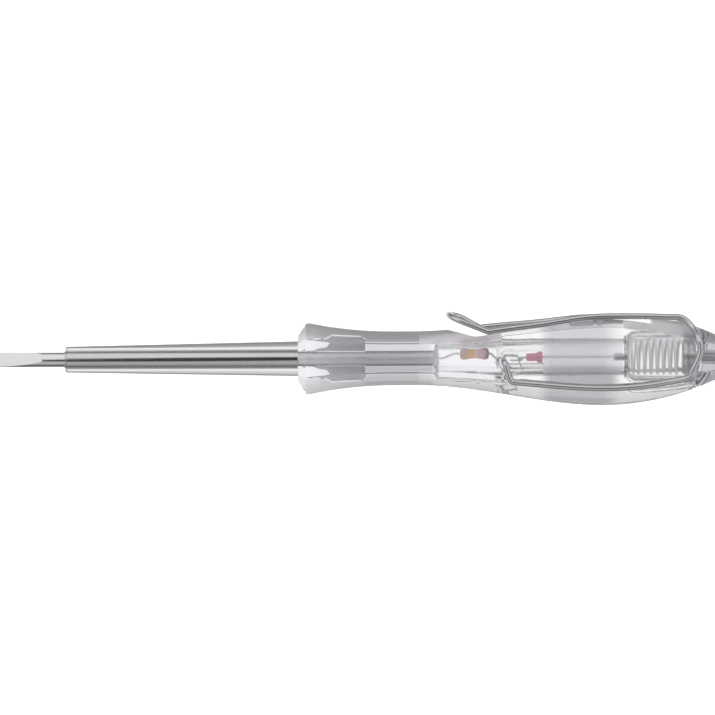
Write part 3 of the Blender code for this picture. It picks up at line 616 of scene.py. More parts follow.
# %% Handle outline
FRONT_FACE_RADIUS = 0.0046
COLLAR_RADIUS = 0.00715
COLLAR_CHAMFER_LENGTH = 0.0016
COLLAR_LAND = 0.0008
NECK_RADIUS = 0.00545
NECK_START = 0.0190
NECK_END = 0.0240
BELLY_RADIUS = 0.0096
BELLY_SETBACK = 0.0180
TAIL_RADIUS = 0.00395
FLAT_DEPTH = 0.0066
FLAT_SWEEP_RADIUS = 0.1300
FLAT_START = 0.0406
HALF_TURN_SHARE = math.cos(math.radians(30))

handle_front, handle_rear = [corner.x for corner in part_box("handle_body")]
tail_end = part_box("end_plug")[1].x
collar_x = handle_front + COLLAR_CHAMFER_LENGTH
land_x = collar_x + COLLAR_LAND
neck_x = handle_front + NECK_START
swell_x = handle_front + NECK_END
belly_x = handle_rear - BELLY_SETBACK
flat_start = handle_front + FLAT_START


def handle_radius(x):
    """Corner radius of the handle at a place along it."""
    if x < collar_x:
        return mix(FRONT_FACE_RADIUS, COLLAR_RADIUS, (x - handle_front) / COLLAR_CHAMFER_LENGTH)
    if x < land_x:
        return COLLAR_RADIUS
    if x < neck_x:
        return mix(NECK_RADIUS, COLLAR_RADIUS, ((neck_x - x) / (neck_x - land_x)) ** 2)
    if x < swell_x:
        return NECK_RADIUS
    if x < belly_x:
        share = (x - swell_x) / (belly_x - swell_x)
        return mix(NECK_RADIUS, BELLY_RADIUS, share * share * (3 - 2 * share))
    return mix(BELLY_RADIUS, TAIL_RADIUS, ((x - belly_x) / (tail_end - belly_x)) ** 2)


def flat_depth(x):
    """Distance of a broad side flat from the axis."""
    return FLAT_DEPTH - (x - belly_x) ** 2 / (2 * FLAT_SWEEP_RADIUS)


def flat_edge(x):
    """Height above the axis at which a side flat meets the sloping face."""
    return handle_radius(x) - flat_depth(x) / math.sqrt(3)


print("handle from", round(handle_front * 1000, 1), "to", round(handle_rear * 1000, 1), "mm")

# %% [markdown]
# The clear body starts as a six-sided ring that is extruded from station to station, and each new ring is
# given its size by the outline. A block cut to shape would also do, but rings follow the curves closely.
# Behind the hook pocket the four corners beside the flats are drawn in. A bevel softens every long edge, as
# polish and moulding do.

# %% Six-sided stretches
EDGE_ROUND = 0.00035
EDGE_STEPS = 3
SOFT_EDGE_ANGLE = 25.0
STATION_SPACING = 0.0009
STEP_WIDTH = 0.00002
OPEN_DEPTH = BELLY_RADIUS


def ring_corner(vert, x, depth):
    """Move one corner of a six-sided ring to its place at a station."""
    radius = handle_radius(x)
    side = min(radius * HALF_TURN_SHARE, depth)
    sign_y = 1 if vert.co.y > 0 else -1
    if abs(vert.co.z) < WELD:
        vert.co = (x, sign_y * radius, 0)
    else:
        sign_z = 1 if vert.co.z > 0 else -1
        vert.co = (x, sign_y * (radius - side / math.sqrt(3)), sign_z * side)


def six_sided(stations):
    """A bmesh of a stretch of the handle through stations of place and side depth, with soft edges."""
    shape = bmesh.new()
    bmesh.ops.create_circle(shape, cap_ends=False, segments=6, radius=1.0)
    bmesh.ops.transform(shape, matrix=Matrix.Rotation(math.pi / 2, 4, "Y"), verts=shape.verts)
    longest = max(shape.verts, key=lambda vert: abs(vert.co.y))
    if abs(longest.co.z) > WELD:
        sixth = Matrix.Rotation(math.pi / 6, 3, "X")
        bmesh.ops.rotate(shape, cent=(0, 0, 0), matrix=sixth, verts=shape.verts)
    ring = list(shape.edges)
    first = ring
    for vert in shape.verts:
        ring_corner(vert, *stations[0])
    for x, depth in stations[1:]:
        ring, verts = next_ring(shape, ring)
        for vert in verts:
            ring_corner(vert, x, depth)
    closed_off(shape, first, ring)
    sharp = [edge for edge in shape.edges if edge.calc_face_angle(0) > math.radians(SOFT_EDGE_ANGLE)]
    bmesh.ops.bevel(shape, geom=sharp, offset=EDGE_ROUND, offset_type="OFFSET", affect="EDGES",
                    segments=EDGE_STEPS, profile=0.5, material=-1, clamp_overlap=True)
    return shape


def spaced(start, end):
    """Places from start to end at about the station spacing."""
    return steps_between(start, end, max(1, round((end - start) / STATION_SPACING)))


front_places = [handle_front] + spaced(collar_x, land_x) + spaced(land_x, flat_start - STEP_WIDTH)[1:]
rear_places = spaced(flat_start + STEP_WIDTH, handle_rear)
body_stations = [(x, OPEN_DEPTH) for x in front_places] + [(x, flat_depth(x)) for x in rear_places]
print("handle stations:", len(body_stations))

# %% [markdown]
# The body's finishes change along it: the neck is polished up to the satin belly. Both carry painted shade,
# darker stretches along them and a darker band beside the axis on the low side. The slopes that would show a
# mirror image of the resistor and of the spring are frosted.

# %% Clear body
SATIN_START = 0.0238
SPRING_BORE_LENGTH = 0.0144
FLAT_NORMAL = 0.9
SLOPE_NORMAL = 0.5
# These stops are painted shade: darker stretches and a darker band that stand in for the greys that light
# gives the clear body.
NECK_SHADE_TINTS = ((0.04, (0.97, 0.963, 0.99)), (0.10, (0.87, 0.863, 0.89)), (0.32, (0.74, 0.733, 0.76)),
              (0.57, (0.74, 0.733, 0.76)), (0.64, (0.80, 0.793, 0.82)), (0.675, (0.985, 0.98, 1.0)),
              (1.0, (0.985, 0.98, 1.0)))
BELLY_SHADE_TINTS = ((0.0, (0.93, 0.923, 0.95)), (0.38, (0.995, 0.988, 1.0)), (0.45, (0.995, 0.988, 1.0)),
               (0.48, (0.71, 0.703, 0.73)), (0.67, (0.71, 0.703, 0.73)), (0.74, (1.0, 0.995, 1.0)),
               (1.0, (1.0, 0.995, 1.0)))
NECK_SHADE_BAND = (-0.00215, 0.00055)
NECK_SHADE_BAND_TINTS = ((0.04, (0.97, 0.963, 0.99)), (0.10, (0.87, 0.863, 0.89)), (0.30, (0.74, 0.733, 0.76)),
                   (0.34, (0.53, 0.523, 0.55)), (0.655, (0.53, 0.523, 0.55)), (0.68, (0.80, 0.793, 0.82)),
                   (0.70, (0.84, 0.833, 0.86)), (0.75, (0.985, 0.98, 1.0)), (1.0, (0.985, 0.98, 1.0)))
BELLY_SHADE_BAND = (-0.00475, 0.00105)
BELLY_SHADE_BAND_TINTS = ((0.0, (0.93, 0.923, 0.95)), (0.45, (0.995, 0.988, 1.0)), (0.48, (0.50, 0.493, 0.52)),
                    (0.70, (0.50, 0.493, 0.52)), (0.74, (1.0, 0.995, 1.0)), (1.0, (1.0, 0.995, 1.0)))
satin_x = handle_front + SATIN_START
chamber_front = handle_rear - SPRING_BORE_LENGTH
neck_shaded_plastic = graded(clear_plastic, "neck_shaded_plastic", handle_front, flat_start, NECK_SHADE_TINTS,
                      NECK_SHADE_BAND_TINTS, NECK_SHADE_BAND)
belly_shaded_plastic = graded(satin_plastic, "belly_shaded_plastic", satin_x, handle_rear, BELLY_SHADE_TINTS,
                       BELLY_SHADE_BAND_TINTS, BELLY_SHADE_BAND)


def skin_finish(centre, normal):
    """0 for the polished front and the rear end, 1 for the satin belly, 2 for the frosted slopes."""
    on_slope = abs(normal.z) < FLAT_NORMAL
    if not (satin_x if on_slope else flat_start) < centre.x < handle_rear - WELD:
        return 0
    beside_resistor = centre.x < flat_start
    return 2 if on_slope and normal.y > SLOPE_NORMAL and (beside_resistor or centre.x > chamber_front) else 1


handle = painted(new_piece("clear_handle", six_sided(body_stations), neck_shaded_plastic),
                 [belly_shaded_plastic, frosted_skin], skin_finish)
print("body faces:", len(handle.data.polygons))

# %% [markdown]
# The inside of the handle is one turned cutter: a shallow seat for the sleeve, the blade's hole, the lamp's
# bore in two widths, and the spring's chamber with a round front corner. The blade is moulded in, so it has
# no gap that would shine. Each stretch of the bore gets its own finish, and the part above the resistor is
# frosted, so that its mirror image in the slope stays faint.

# %% Bores of the handle
FIT_GAP = 0.0003
CLOSE_GAP = 0.00003
OVERRUN = 0.002
BORE_STEPS = 96
BORE_WALL_FRONT = 0.0270
FRONT_BORE_RADIUS = 0.0034
FRONT_BORE_LENGTH = 0.0088
LAMP_BORE_RADIUS = 0.00365
SPRING_BORE_RADIUS = 0.0048
BORE_CORNER = 0.0008
SPRING_BORE_CORNER = 0.0028
SPRING_BORE_EASE = 0.0003
BORE_CONE_LENGTH = 0.0006
SLEEVE_FRONT_RADIUS = 0.0026
SLEEVE_MOUTH_RADIUS = 0.0035
SLEEVE_SEAT_DEPTH = 0.0004
FROSTED_SPAN = (0.64, 0.996)

sleeve_front, sleeve_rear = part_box("blade_sleeve")[0].x, handle_front + SLEEVE_SEAT_DEPTH
shank_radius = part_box("blade")[1].y
blade_hole = shank_radius + CLOSE_GAP


def sleeve_radius(x):
    """Outer radius of the sleeve, a slow taper."""
    return mix(SLEEVE_FRONT_RADIUS, SLEEVE_MOUTH_RADIUS, (x - sleeve_front) / (handle_front - sleeve_front))


def corner_arc(centre_x, centre_r, radius, start_degrees, end_degrees, steps=8):
    """Points of a profile along a round corner."""
    angles = [math.radians(degrees) for degrees in steps_between(start_degrees, end_degrees, steps)]
    return [(centre_x + radius * math.cos(angle), centre_r + radius * math.sin(angle)) for angle in angles]


mouth = handle_front - OVERRUN
open_end = handle_rear + OVERRUN
spring_bore = SPRING_BORE_RADIUS + SPRING_BORE_EASE
bore_front = handle_front + BORE_WALL_FRONT
lamp_bore_front = bore_front + FRONT_BORE_LENGTH
seat_end = sleeve_rear + CLOSE_GAP
lamp_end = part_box("lamp_bead")[1].x
core_profile = [(mouth, 0)] + [(x, sleeve_radius(x) + CLOSE_GAP) for x in (mouth, seat_end)]
core_profile += [(seat_end, blade_hole), (bore_front, blade_hole)]
core_profile += corner_arc(bore_front + BORE_CONE_LENGTH + BORE_CORNER, FRONT_BORE_RADIUS - BORE_CORNER,
                           BORE_CORNER, 160, 90)
core_profile += [(lamp_bore_front, FRONT_BORE_RADIUS)]
core_profile += [(x, LAMP_BORE_RADIUS) for x in (lamp_bore_front, flat_start, lamp_end, chamber_front)]
core_profile += corner_arc(chamber_front + SPRING_BORE_CORNER, spring_bore - SPRING_BORE_CORNER,
                           SPRING_BORE_CORNER, 149, 90, 14)
core_profile += [(open_end, spring_bore), (open_end, 0)]


def bore_finish(centre, normal):
    """0 in the front seat, 1 behind the lamp, 2 round blade, lamp and spring, 3 above the resistor."""
    if centre.x < seat_end + WELD:
        return 0
    if bore_front < centre.x < flat_start and FROSTED_SPAN[0] < normal.y < FROSTED_SPAN[1]:
        return 3
    return 1 if lamp_end < centre.x < chamber_front - WELD else 2


core_cutter = painted(new_piece("core_cutter", spun(core_profile, BORE_STEPS), clear_plastic),
                      [bore_plastic, chamber_plastic, frosted_plastic], bore_finish)
print("bore profile points:", len(core_profile))

# %% [markdown]
# The clip is one bent wire. Its two legs run from a loop at the tip back along the top of the handle, bend
# round each rear corner, and come forward along the side flats to a hook in each. Its path could be drawn
# by hand, but here it is worked out from the handle's outline, so that the wire lies on the plastic. These
# are its places along the handle, from the tip to the hooks.

# %% Places of the clip's wire
WIRE_RADIUS = 0.0006
WIRE_SIDES = 24
CLIP_TIP_SETBACK = 0.0302
CLIP_BEND_SETBACK = 0.0380
CLIP_TIP_LIFT = 0.0030
CLIP_HALF_SPREAD = 0.0026
CLIP_REAR_HALF_SPREAD = 0.0032
CLIP_TWIST_LIFT = 0.0009
CLIP_TWIST_LEAD = 0.0015
CLIP_CREST_RISE = 0.00015
CLIP_LEG_SAG = 0.0004
CLIP_LEG_END_GAP = 0.0024
CLIP_LEG_DROP = 0.0004
CLIP_REAR_OVERHANG = 0.0010
CLIP_ARM_END_SETBACK = 0.0431
CLIP_ARM_DROP = 0.00035
CLIP_ARM_STAND = 0.0002
CLIP_HOOK_SETBACK = 0.0410
CLIP_HOOK_BEND = 0.0009
CLIP_HOOK_REACH = 0.00105
CLIP_HOOK_DROP = 0.0007
CHANNEL_DEPTH = 0.00245
CREST_SHARE = 0.385

wire_seat = WIRE_RADIUS + FIT_GAP
clip_bend_x = handle_front + CLIP_BEND_SETBACK
clip_tip_x = handle_front + CLIP_TIP_SETBACK
leg_end_x = handle_rear - CLIP_LEG_END_GAP
clip_crest_x = mix(belly_x, leg_end_x, CREST_SHARE)
rear_bend_x = handle_rear + CLIP_REAR_OVERHANG
hook_x = handle_front + CLIP_HOOK_SETBACK
hook_surface = flat_depth(hook_x) + WIRE_RADIUS
print("clip from", round(clip_tip_x * 1000, 1), "to", round(rear_bend_x * 1000, 1), "mm")

# %% [markdown]
# A leg touches the handle at its bend, follows the outline with a slight sag, and is straight behind the
# belly. The far leg sits a little higher and bends sooner, because the real wire is slightly twisted.

# %% Path of the legs
def leg_height(x):
    """Height of a leg above the axis: a lifted tip, a touching bend, then a run along the channel."""
    bend_height = handle_radius(clip_bend_x) - CHANNEL_DEPTH + wire_seat
    if x < clip_bend_x:
        return bend_height + CLIP_TIP_LIFT * (clip_bend_x - x) / (clip_bend_x - clip_tip_x)
    if x < belly_x:
        share = (x - clip_bend_x) / (belly_x - clip_bend_x)
        sag = CLIP_LEG_SAG * math.sin(math.pi * share) ** 2
        return handle_radius(x) - CHANNEL_DEPTH + wire_seat - sag + CLIP_CREST_RISE * share
    crest = BELLY_RADIUS - CHANNEL_DEPTH + wire_seat + CLIP_CREST_RISE
    if x < clip_crest_x:
        return crest
    return crest - CLIP_LEG_DROP * ((x - clip_crest_x) / (leg_end_x - clip_crest_x)) ** 2


def leg_knots(side):
    """Corners of one leg, from the loop to its rear end."""
    far = 1 if side < 0 else 0
    loop_x = mix(clip_tip_x, clip_bend_x, CLIP_HALF_SPREAD / (clip_bend_x - clip_tip_x))
    front = [loop_x, (loop_x + clip_bend_x) / 2, clip_bend_x - 2 * WIRE_RADIUS]
    rear = steps_between(clip_bend_x + 2 * WIRE_RADIUS, belly_x, 5)
    rear += steps_between(clip_crest_x, leg_end_x, 3)
    knots = []
    for x in front + [clip_bend_x] + rear:
        fade = max(0.0, min(1.0, (belly_x - x) / (belly_x - clip_bend_x)))
        along = max(0.0, (x - clip_bend_x) / (leg_end_x - clip_bend_x))
        shift = CLIP_TWIST_LEAD * far * fade * max(0.0, min(1.0, (x - loop_x) / (clip_bend_x - loop_x)))
        spread = mix(CLIP_HALF_SPREAD, CLIP_REAR_HALF_SPREAD, along)
        knots.append(Vector((x - shift, leg_height(x) + CLIP_TWIST_LIFT * far * fade, side * spread)))
    return knots


print("knots of a leg:", len(leg_knots(1)))

# %% [markdown]
# An arm leaves the leg's rear end, goes round the corner of the handle and forward just below the edge of
# the side flat. It then rises in a slant, and its end turns into the handle as a hook.

# %% Path of the arms
ARM_START_SHARE = 0.30
HOOK_RUN_SHARES = ((0.40, 0.10), (0.625, 0.28), (0.815, 0.667))
CLIP_HOOK_LEAN = 0.31
REAR_BEND_SHARES = ((0.59, 0.89, 0.72), (0.88, 0.56, 1.10), (1.00, 0.19, 1.12), (0.79, -0.14, 1.11),
                    (0.50, -0.42, 1.09))


def arm_knots(side):
    """Corners of one arm: round the rear, forward along the flat's edge, then up to the hook."""
    knots = []
    for along, up, out in REAR_BEND_SHARES:
        x = mix(leg_end_x, rear_bend_x, along)
        knots.append(Vector((x, handle_radius(x) * up, flat_depth(x) * out)))
    run_start = mix(leg_end_x, rear_bend_x, ARM_START_SHARE)
    for x in steps_between(run_start, handle_front + CLIP_ARM_END_SETBACK, 7):
        knots.append(Vector((x, -flat_edge(x) - CLIP_ARM_DROP, flat_depth(x) + CLIP_ARM_STAND)))
    corner = knots[-1]
    top = Vector((hook_x + CLIP_HOOK_LEAN * CLIP_HOOK_BEND, -CLIP_HOOK_BEND - CLIP_HOOK_DROP, hook_surface))
    for across, rise in HOOK_RUN_SHARES:
        knots.append(Vector((mix(corner.x, top.x, across), mix(corner.y, top.y, rise), top.z)))
    knots.append(top)
    return [Vector((knot.x, knot.y, side * knot.z)) for knot in knots]


def hook_end(side):
    """Points of the hook's bend into the handle and of its straight end."""
    points = []
    for angle in steps_between(0, math.pi / 2, 6)[1:]:
        back = CLIP_HOOK_BEND * (1 - math.sin(angle))
        z = hook_surface - CLIP_HOOK_BEND * (1 - math.cos(angle))
        points.append(Vector((hook_x + CLIP_HOOK_LEAN * back, -back - CLIP_HOOK_DROP, side * z)))
    points.append(Vector((hook_x, -CLIP_HOOK_DROP, side * (hook_surface - CLIP_HOOK_REACH))))
    return points


print("knots of an arm:", len(arm_knots(1)))

# %% [markdown]
# Leg and arm of each side make one smooth half, and half an ellipse joins the two halves as the loop at the
# clip's tip. The whole wire is then one list of points.

# %% Whole path of the wire
WIRE_PATH_STEPS = 8
LOOP_STEPS = 20

halves = []
for side in (1, -1):
    halves.append(smooth_path(leg_knots(side) + arm_knots(side), WIRE_PATH_STEPS) + hook_end(side))
near_half, far_half = halves
loop_middle = (near_half[0] + far_half[0]) / 2
loop_arm = (near_half[0] - far_half[0]) / 2
loop_forward = Vector((clip_tip_x, leg_height(clip_tip_x) + CLIP_TWIST_LIFT / 2, 0)) - loop_middle
loop_points = [loop_middle + loop_arm * math.cos(angle) + loop_forward * math.sin(angle)
               for angle in steps_between(0, math.pi, LOOP_STEPS)[1:-1]]
wire_path = list(reversed(near_half)) + loop_points + far_half
print("clip path points:", len(wire_path))

# %% [markdown]
# The legs lie in a channel along the top corner of the handle. It starts with a ramp, keeps just under the
# wire, dips behind the belly and ends at a block on which the legs rest. It is a flat side view extruded
# across the whole handle, since the corner is narrow there.

# %% Channel under the legs
CHANNEL_RAMP_START = 0.0298
CHANNEL_RAMP_END = 0.0354
CHANNEL_DIP = 0.0009
CHANNEL_STEPS = 40
REST_BLOCK_LENGTH = 0.0060

channel_seat = WIRE_RADIUS + CLOSE_GAP


def channel_outline():
    """The channel's side view: a ramp, a floor under the wire, a dip, then the rest block's step."""
    ramp_x = handle_front + CHANNEL_RAMP_START
    floor_x = handle_front + CHANNEL_RAMP_END
    rest_block_x = leg_end_x - REST_BLOCK_LENGTH
    exit_x = leg_end_x + OVERRUN
    top = BELLY_RADIUS + OVERRUN
    outline = [(ramp_x, handle_radius(ramp_x))]
    for x in steps_between(floor_x, clip_bend_x, 6):
        outline.append((x, handle_radius(x) - CHANNEL_DEPTH + FIT_GAP - CLOSE_GAP))
    for x in steps_between(clip_bend_x, belly_x, CHANNEL_STEPS)[1:]:
        outline.append((x, leg_height(x) - channel_seat))
    belly_floor = leg_height(belly_x) - channel_seat
    dip_floor = leg_height(rest_block_x) - channel_seat - CHANNEL_DIP
    for share in steps_between(0, 1, 12)[1:]:
        outline.append((mix(belly_x, rest_block_x, share), mix(belly_floor, dip_floor, share ** 2)))
    outline += [(x, leg_height(x) - channel_seat) for x in steps_between(rest_block_x, leg_end_x, 8)]
    outline += [(exit_x, leg_height(leg_end_x) - channel_seat), (exit_x, top), (ramp_x, top)]
    return outline


def extruded(outline, half_width):
    """A bmesh of a flat outline in X and Y, extruded along Z to both sides of the middle."""
    shape = bmesh.new()
    verts = [shape.verts.new((x, y, -half_width)) for x, y in outline]
    face = shape.faces.new(verts)
    made = bmesh.ops.extrude_face_region(shape, geom=[face])["geom"]
    moved = [item for item in made if isinstance(item, bmesh.types.BMVert)]
    bmesh.ops.translate(shape, vec=(0, 0, 2 * half_width), verts=moved)
    bmesh.ops.recalc_face_normals(shape, faces=shape.faces)
    return shape


print("channel outline points:", len(channel_outline()))

# %% [markdown]
# Each arm lies in a groove round the rear corner, and in a wider trough along its run. Both are wires along
# the arm's own path, thicker than the arm. On the near side the walls of the groove's run and of the trough
# are painted a dark shade, which draws a dark line on both sides of the wire. A blind hole takes the arm's
# end.

# %% Grooves, troughs and holes for the arms
GROOVE_GAP = 0.00040
GROOVE_DROP = 0.0003
HOOK_HOLE_GAP = 0.00015
HOLE_SIDES = 32
TRENCH_RADIUS = 0.0015
TRENCH_DROP = 0.0007
TRENCH_FRONT_GAP = 0.0010
TRENCH_REAR_GAP = 0.0050
TRENCH_STEPS = 60


def groove_shape(side):
    """The arm's groove: its own path at a clearance, up to the middle of the hook hole."""
    start = Vector((leg_end_x + FIT_GAP, leg_height(leg_end_x), side * CLIP_REAR_HALF_SPREAD))
    path = smooth_path([start] + arm_knots(side), WIRE_PATH_STEPS)
    path.append(Vector((hook_x, -CLIP_HOOK_DROP, side * hook_surface)))
    shape = swept(path, WIRE_RADIUS + GROOVE_GAP, WIRE_SIDES)
    bmesh.ops.translate(shape, vec=(0, -GROOVE_DROP, 0), verts=shape.verts)
    return shape


def trench_shape(side):
    """The wider trough that the run of one arm lies in, along the edge of the side flat."""
    start = handle_front + CLIP_ARM_END_SETBACK + TRENCH_FRONT_GAP
    path = []
    for x in steps_between(start, leg_end_x - TRENCH_REAR_GAP, TRENCH_STEPS):
        height = -flat_edge(x) - CLIP_ARM_DROP - TRENCH_DROP
        path.append(Vector((x, height, side * (flat_depth(x) + CLIP_ARM_STAND))))
    return swept(path, TRENCH_RADIUS, HOLE_SIDES)


def hook_hole(side):
    """The blind hole for the end of one arm."""
    floor_z = hook_surface - CLIP_HOOK_REACH - FIT_GAP
    shape = bmesh.new()
    place = Matrix.Translation((hook_x, -CLIP_HOOK_DROP, side * (floor_z + BELLY_RADIUS) / 2))
    hole_radius = WIRE_RADIUS + HOOK_HOLE_GAP
    bmesh.ops.create_cone(shape, cap_ends=True, segments=HOLE_SIDES, radius1=hole_radius, radius2=hole_radius,
                          depth=BELLY_RADIUS - floor_z, matrix=place)
    return shape


def in_arm_run(centre, normal):
    """1 for a groove cutter's faces along an arm's run, painted shade on the near side, 0 at the rear bend
    and hook.
    """
    return 1 if handle_front + CLIP_ARM_END_SETBACK < centre.x < leg_end_x and centre.y < 0 else 0


print("hook hole's depth (mm):", round(CLIP_HOOK_REACH * 1000, 2))

# %% [markdown]
# Round each hook the side flat has a slanted recess, so that the wire's end can be pressed in. Its outline
# is extruded, and its floor is then scaled down to give the walls a draft. The walls carry a painted shade,
# darker than the clear floor, which makes the recess readable.

# %% Hook pockets
POCKET_CORNERS = ((0.0003, 0.0006), (0.0032, 0.0004), (0.0042, -0.0026), (0.0010, -0.0038))
POCKET_DEPTH = 0.0006
POCKET_DRAFT = 0.00035


def hook_pocket(side):
    """The slanted recess in a side flat round one hook, its walls drafted so that it leaves the mould."""
    shape = extruded([(flat_start + along, up) for along, up in POCKET_CORNERS], POCKET_DEPTH)
    middle = sum((vert.co for vert in shape.verts), Vector()) / len(shape.verts)
    half_size = Vector(POCKET_CORNERS[2]) - Vector(POCKET_CORNERS[0])
    floor_share = 1 - 2 * POCKET_DRAFT / half_size.length
    floor = [vert for vert in shape.verts if vert.co.z * side < 0]
    bmesh.ops.scale(shape, vec=(floor_share, floor_share, 1), space=Matrix.Translation(-middle), verts=floor)
    bmesh.ops.translate(shape, vec=(0, 0, side * flat_depth(hook_x)), verts=shape.verts)
    return shape


def on_floor(centre, normal):
    """1 for the floor of a pocket's cutter, 0 for its walls."""
    return 1 if abs(normal.z) > FLAT_NORMAL else 0


print("pocket depth (mm):", round(POCKET_DEPTH * 1000, 2))

# %% [markdown]
# Inside the collar the blade is forged into two flat wings, which keep it from turning in the plastic. One
# outline makes both the wings and the slot round them, which is grown by a hair so that the faces of steel
# and plastic don't lie in one another.

# %% Outline of the wings
WING_OUTLINE = ((0.0014, 0.0010), (0.0038, 0.0019), (0.0054, 0.0021), (0.0066, 0.0033))
WING_REAR_CENTRE = (0.0121, 0.00205)
WING_REAR_ROUND = 0.00125
WING_THICKNESS = 0.0010


def wing_shape(grow):
    """The blade's two forged wings as one flat plate, their outline grown by a gap on every side."""
    upper = [(handle_front + along - grow, out + grow) for along, out in WING_OUTLINE]
    centre_x, centre_y = WING_REAR_CENTRE
    upper += corner_arc(handle_front + centre_x, centre_y, WING_REAR_ROUND + grow, 90, -60, 12)
    lower = [(x, -y) for x, y in reversed(upper)]
    return extruded(upper + lower, WING_THICKNESS / 2 + grow)


print("wing points:", len(wing_shape(0).verts) // 2)

# %% [markdown]
# All cuts are now made in the body. The groove's cutter crosses itself at the hook, so its cut is told to
# look for overlaps, which takes longer and is kept to this one.

# %% Cuts in the handle
SIDES = ((1, "near"), (-1, "far"))

cut(handle, [core_cutter,
             new_piece("channel_cutter", extruded(channel_outline(), BELLY_RADIUS), clear_plastic),
             new_piece("wing_slot_cutter", wing_shape(CLOSE_GAP), clear_plastic)])
for side, label in SIDES:
    groove_cutter = new_piece("groove_cutter_" + label, groove_shape(side), clear_plastic)
    # The pocket's walls carry the painted shade, and its floor stays clear.
    pocket_cutter = new_piece("pocket_cutter_" + label, hook_pocket(side), pocket_painted_shade)
    # On the near side the groove's run and the trough take the dark painted shade, and on the far side they
    # stay clear.
    shade = groove_painted_shade if side > 0 else clear_plastic
    cut(handle, [painted(groove_cutter, [shade], in_arm_run)], folded=True)
    cut(handle, [new_piece("trench_cutter_" + label, trench_shape(side), shade)])
    cut(handle, [new_piece("hook_cutter_" + label, hook_hole(side), clear_plastic),
                 painted(pocket_cutter, [clear_plastic], on_floor)])
stands_for(handle, "handle", "clear_plastic", "handle_body")

# %% [markdown]
# The end plug carries on the handle's outline behind the wire, and closes the spring's chamber. It is the
# same six-sided stretch, with a hole for the stud and the last of the wire's grooves. It looks darker than
# the handle, so its plastic is tinted a darker grey.

# %% End plug
STUD_RADIUS = 0.0010

tail_front = handle_rear + CLOSE_GAP
plug_shape = six_sided([(x, OPEN_DEPTH) for x in spaced(tail_front, tail_end)])
plug = new_piece("clear_end_plug", plug_shape, grey_tinted_plastic)
hole_front, hole_rear, hole_radius = tail_front - OVERRUN, tail_end + OVERRUN, STUD_RADIUS + FIT_GAP
hole_profile = [(hole_front, 0), (hole_front, hole_radius), (hole_rear, hole_radius), (hole_rear, 0)]
cut(plug, [new_piece("stud_hole", spun(hole_profile, 48), bore_plastic)])
for side, label in SIDES:
    cut(plug, [new_piece("plug_groove_" + label, groove_shape(side), clear_plastic)], folded=True)
stands_for(plug, "handle", "clear_plastic", "end_plug")

# %% [markdown]
# The clip's own wire follows the path that was worked out before. On the imported model its legs turn about a
# hinge, which stands in for the bending of springy wire. Here the clip is one piece, and the imported nodes
# of its legs and arms are hidden.

clip = new_piece("bent_wire_clip", swept(wire_path, WIRE_RADIUS, WIRE_SIDES), spring_wire, 40.0)
hinge = Vector((leg_end_x, leg_height(leg_end_x) - FIT_GAP / 3, 0))
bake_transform(clip)
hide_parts("clip_legs", "clip_arm_near", "clip_arm_far")
print(clip.name, "faces:", len(clip.data.polygons))

# %% [markdown]
# A tapered tube of clear plastic insulates the blade up to its tip. Its profile is a closed loop, so that
# spinning it gives a tube with a bore. It ends in the seat in the collar, which is moulded onto it.

# %% Insulating sleeve
SLEEVE_CHAMFER = 0.0004
SLEEVE_GAP = 0.00004

sleeve_bore = shank_radius + SLEEVE_GAP
sleeve_outer = [(sleeve_front, sleeve_bore), (sleeve_front, sleeve_radius(sleeve_front) - SLEEVE_CHAMFER),
                (sleeve_front + SLEEVE_CHAMFER, sleeve_radius(sleeve_front + SLEEVE_CHAMFER))]
sleeve_outer += [(sleeve_rear, sleeve_radius(sleeve_rear)), (sleeve_rear, sleeve_bore)]
sleeve = new_piece("clear_sleeve", spun(sleeve_outer, BORE_STEPS, closed=True), sleeve_plastic)
stands_for(sleeve, "handle", "sleeve_plastic", "blade_sleeve")

# %% [markdown]
# The blade is a turned rod. Its tip is ground on a large wheel from both sides, so two wheels are its
# cutters, and they give the slightly hollow flats of a real grind. The tip is rolled a little about the
# axis, as in the photograph. The wings are joined to the rod, and their rims are softened by a bevel.

# %% Blade
TIP_THICKNESS = 0.0005
GRIND_LENGTH = 0.0100
GRIND_WHEEL_RADIUS = 0.0800
GRIND_STEPS = 1024
TIP_ROLL = 17.0
RIM_ANGLE = 60.0
WING_RIM_SHARE = 0.2


def soften_rims(shape, offset):
    """Bevel the sharp rims of a shape."""
    rims = [edge for edge in shape.edges if edge.calc_face_angle(0) > math.radians(RIM_ANGLE)]
    bmesh.ops.bevel(shape, geom=rims, offset=offset, offset_type="OFFSET", affect="EDGES", segments=3,
                    profile=0.5, material=-1, clamp_overlap=True)


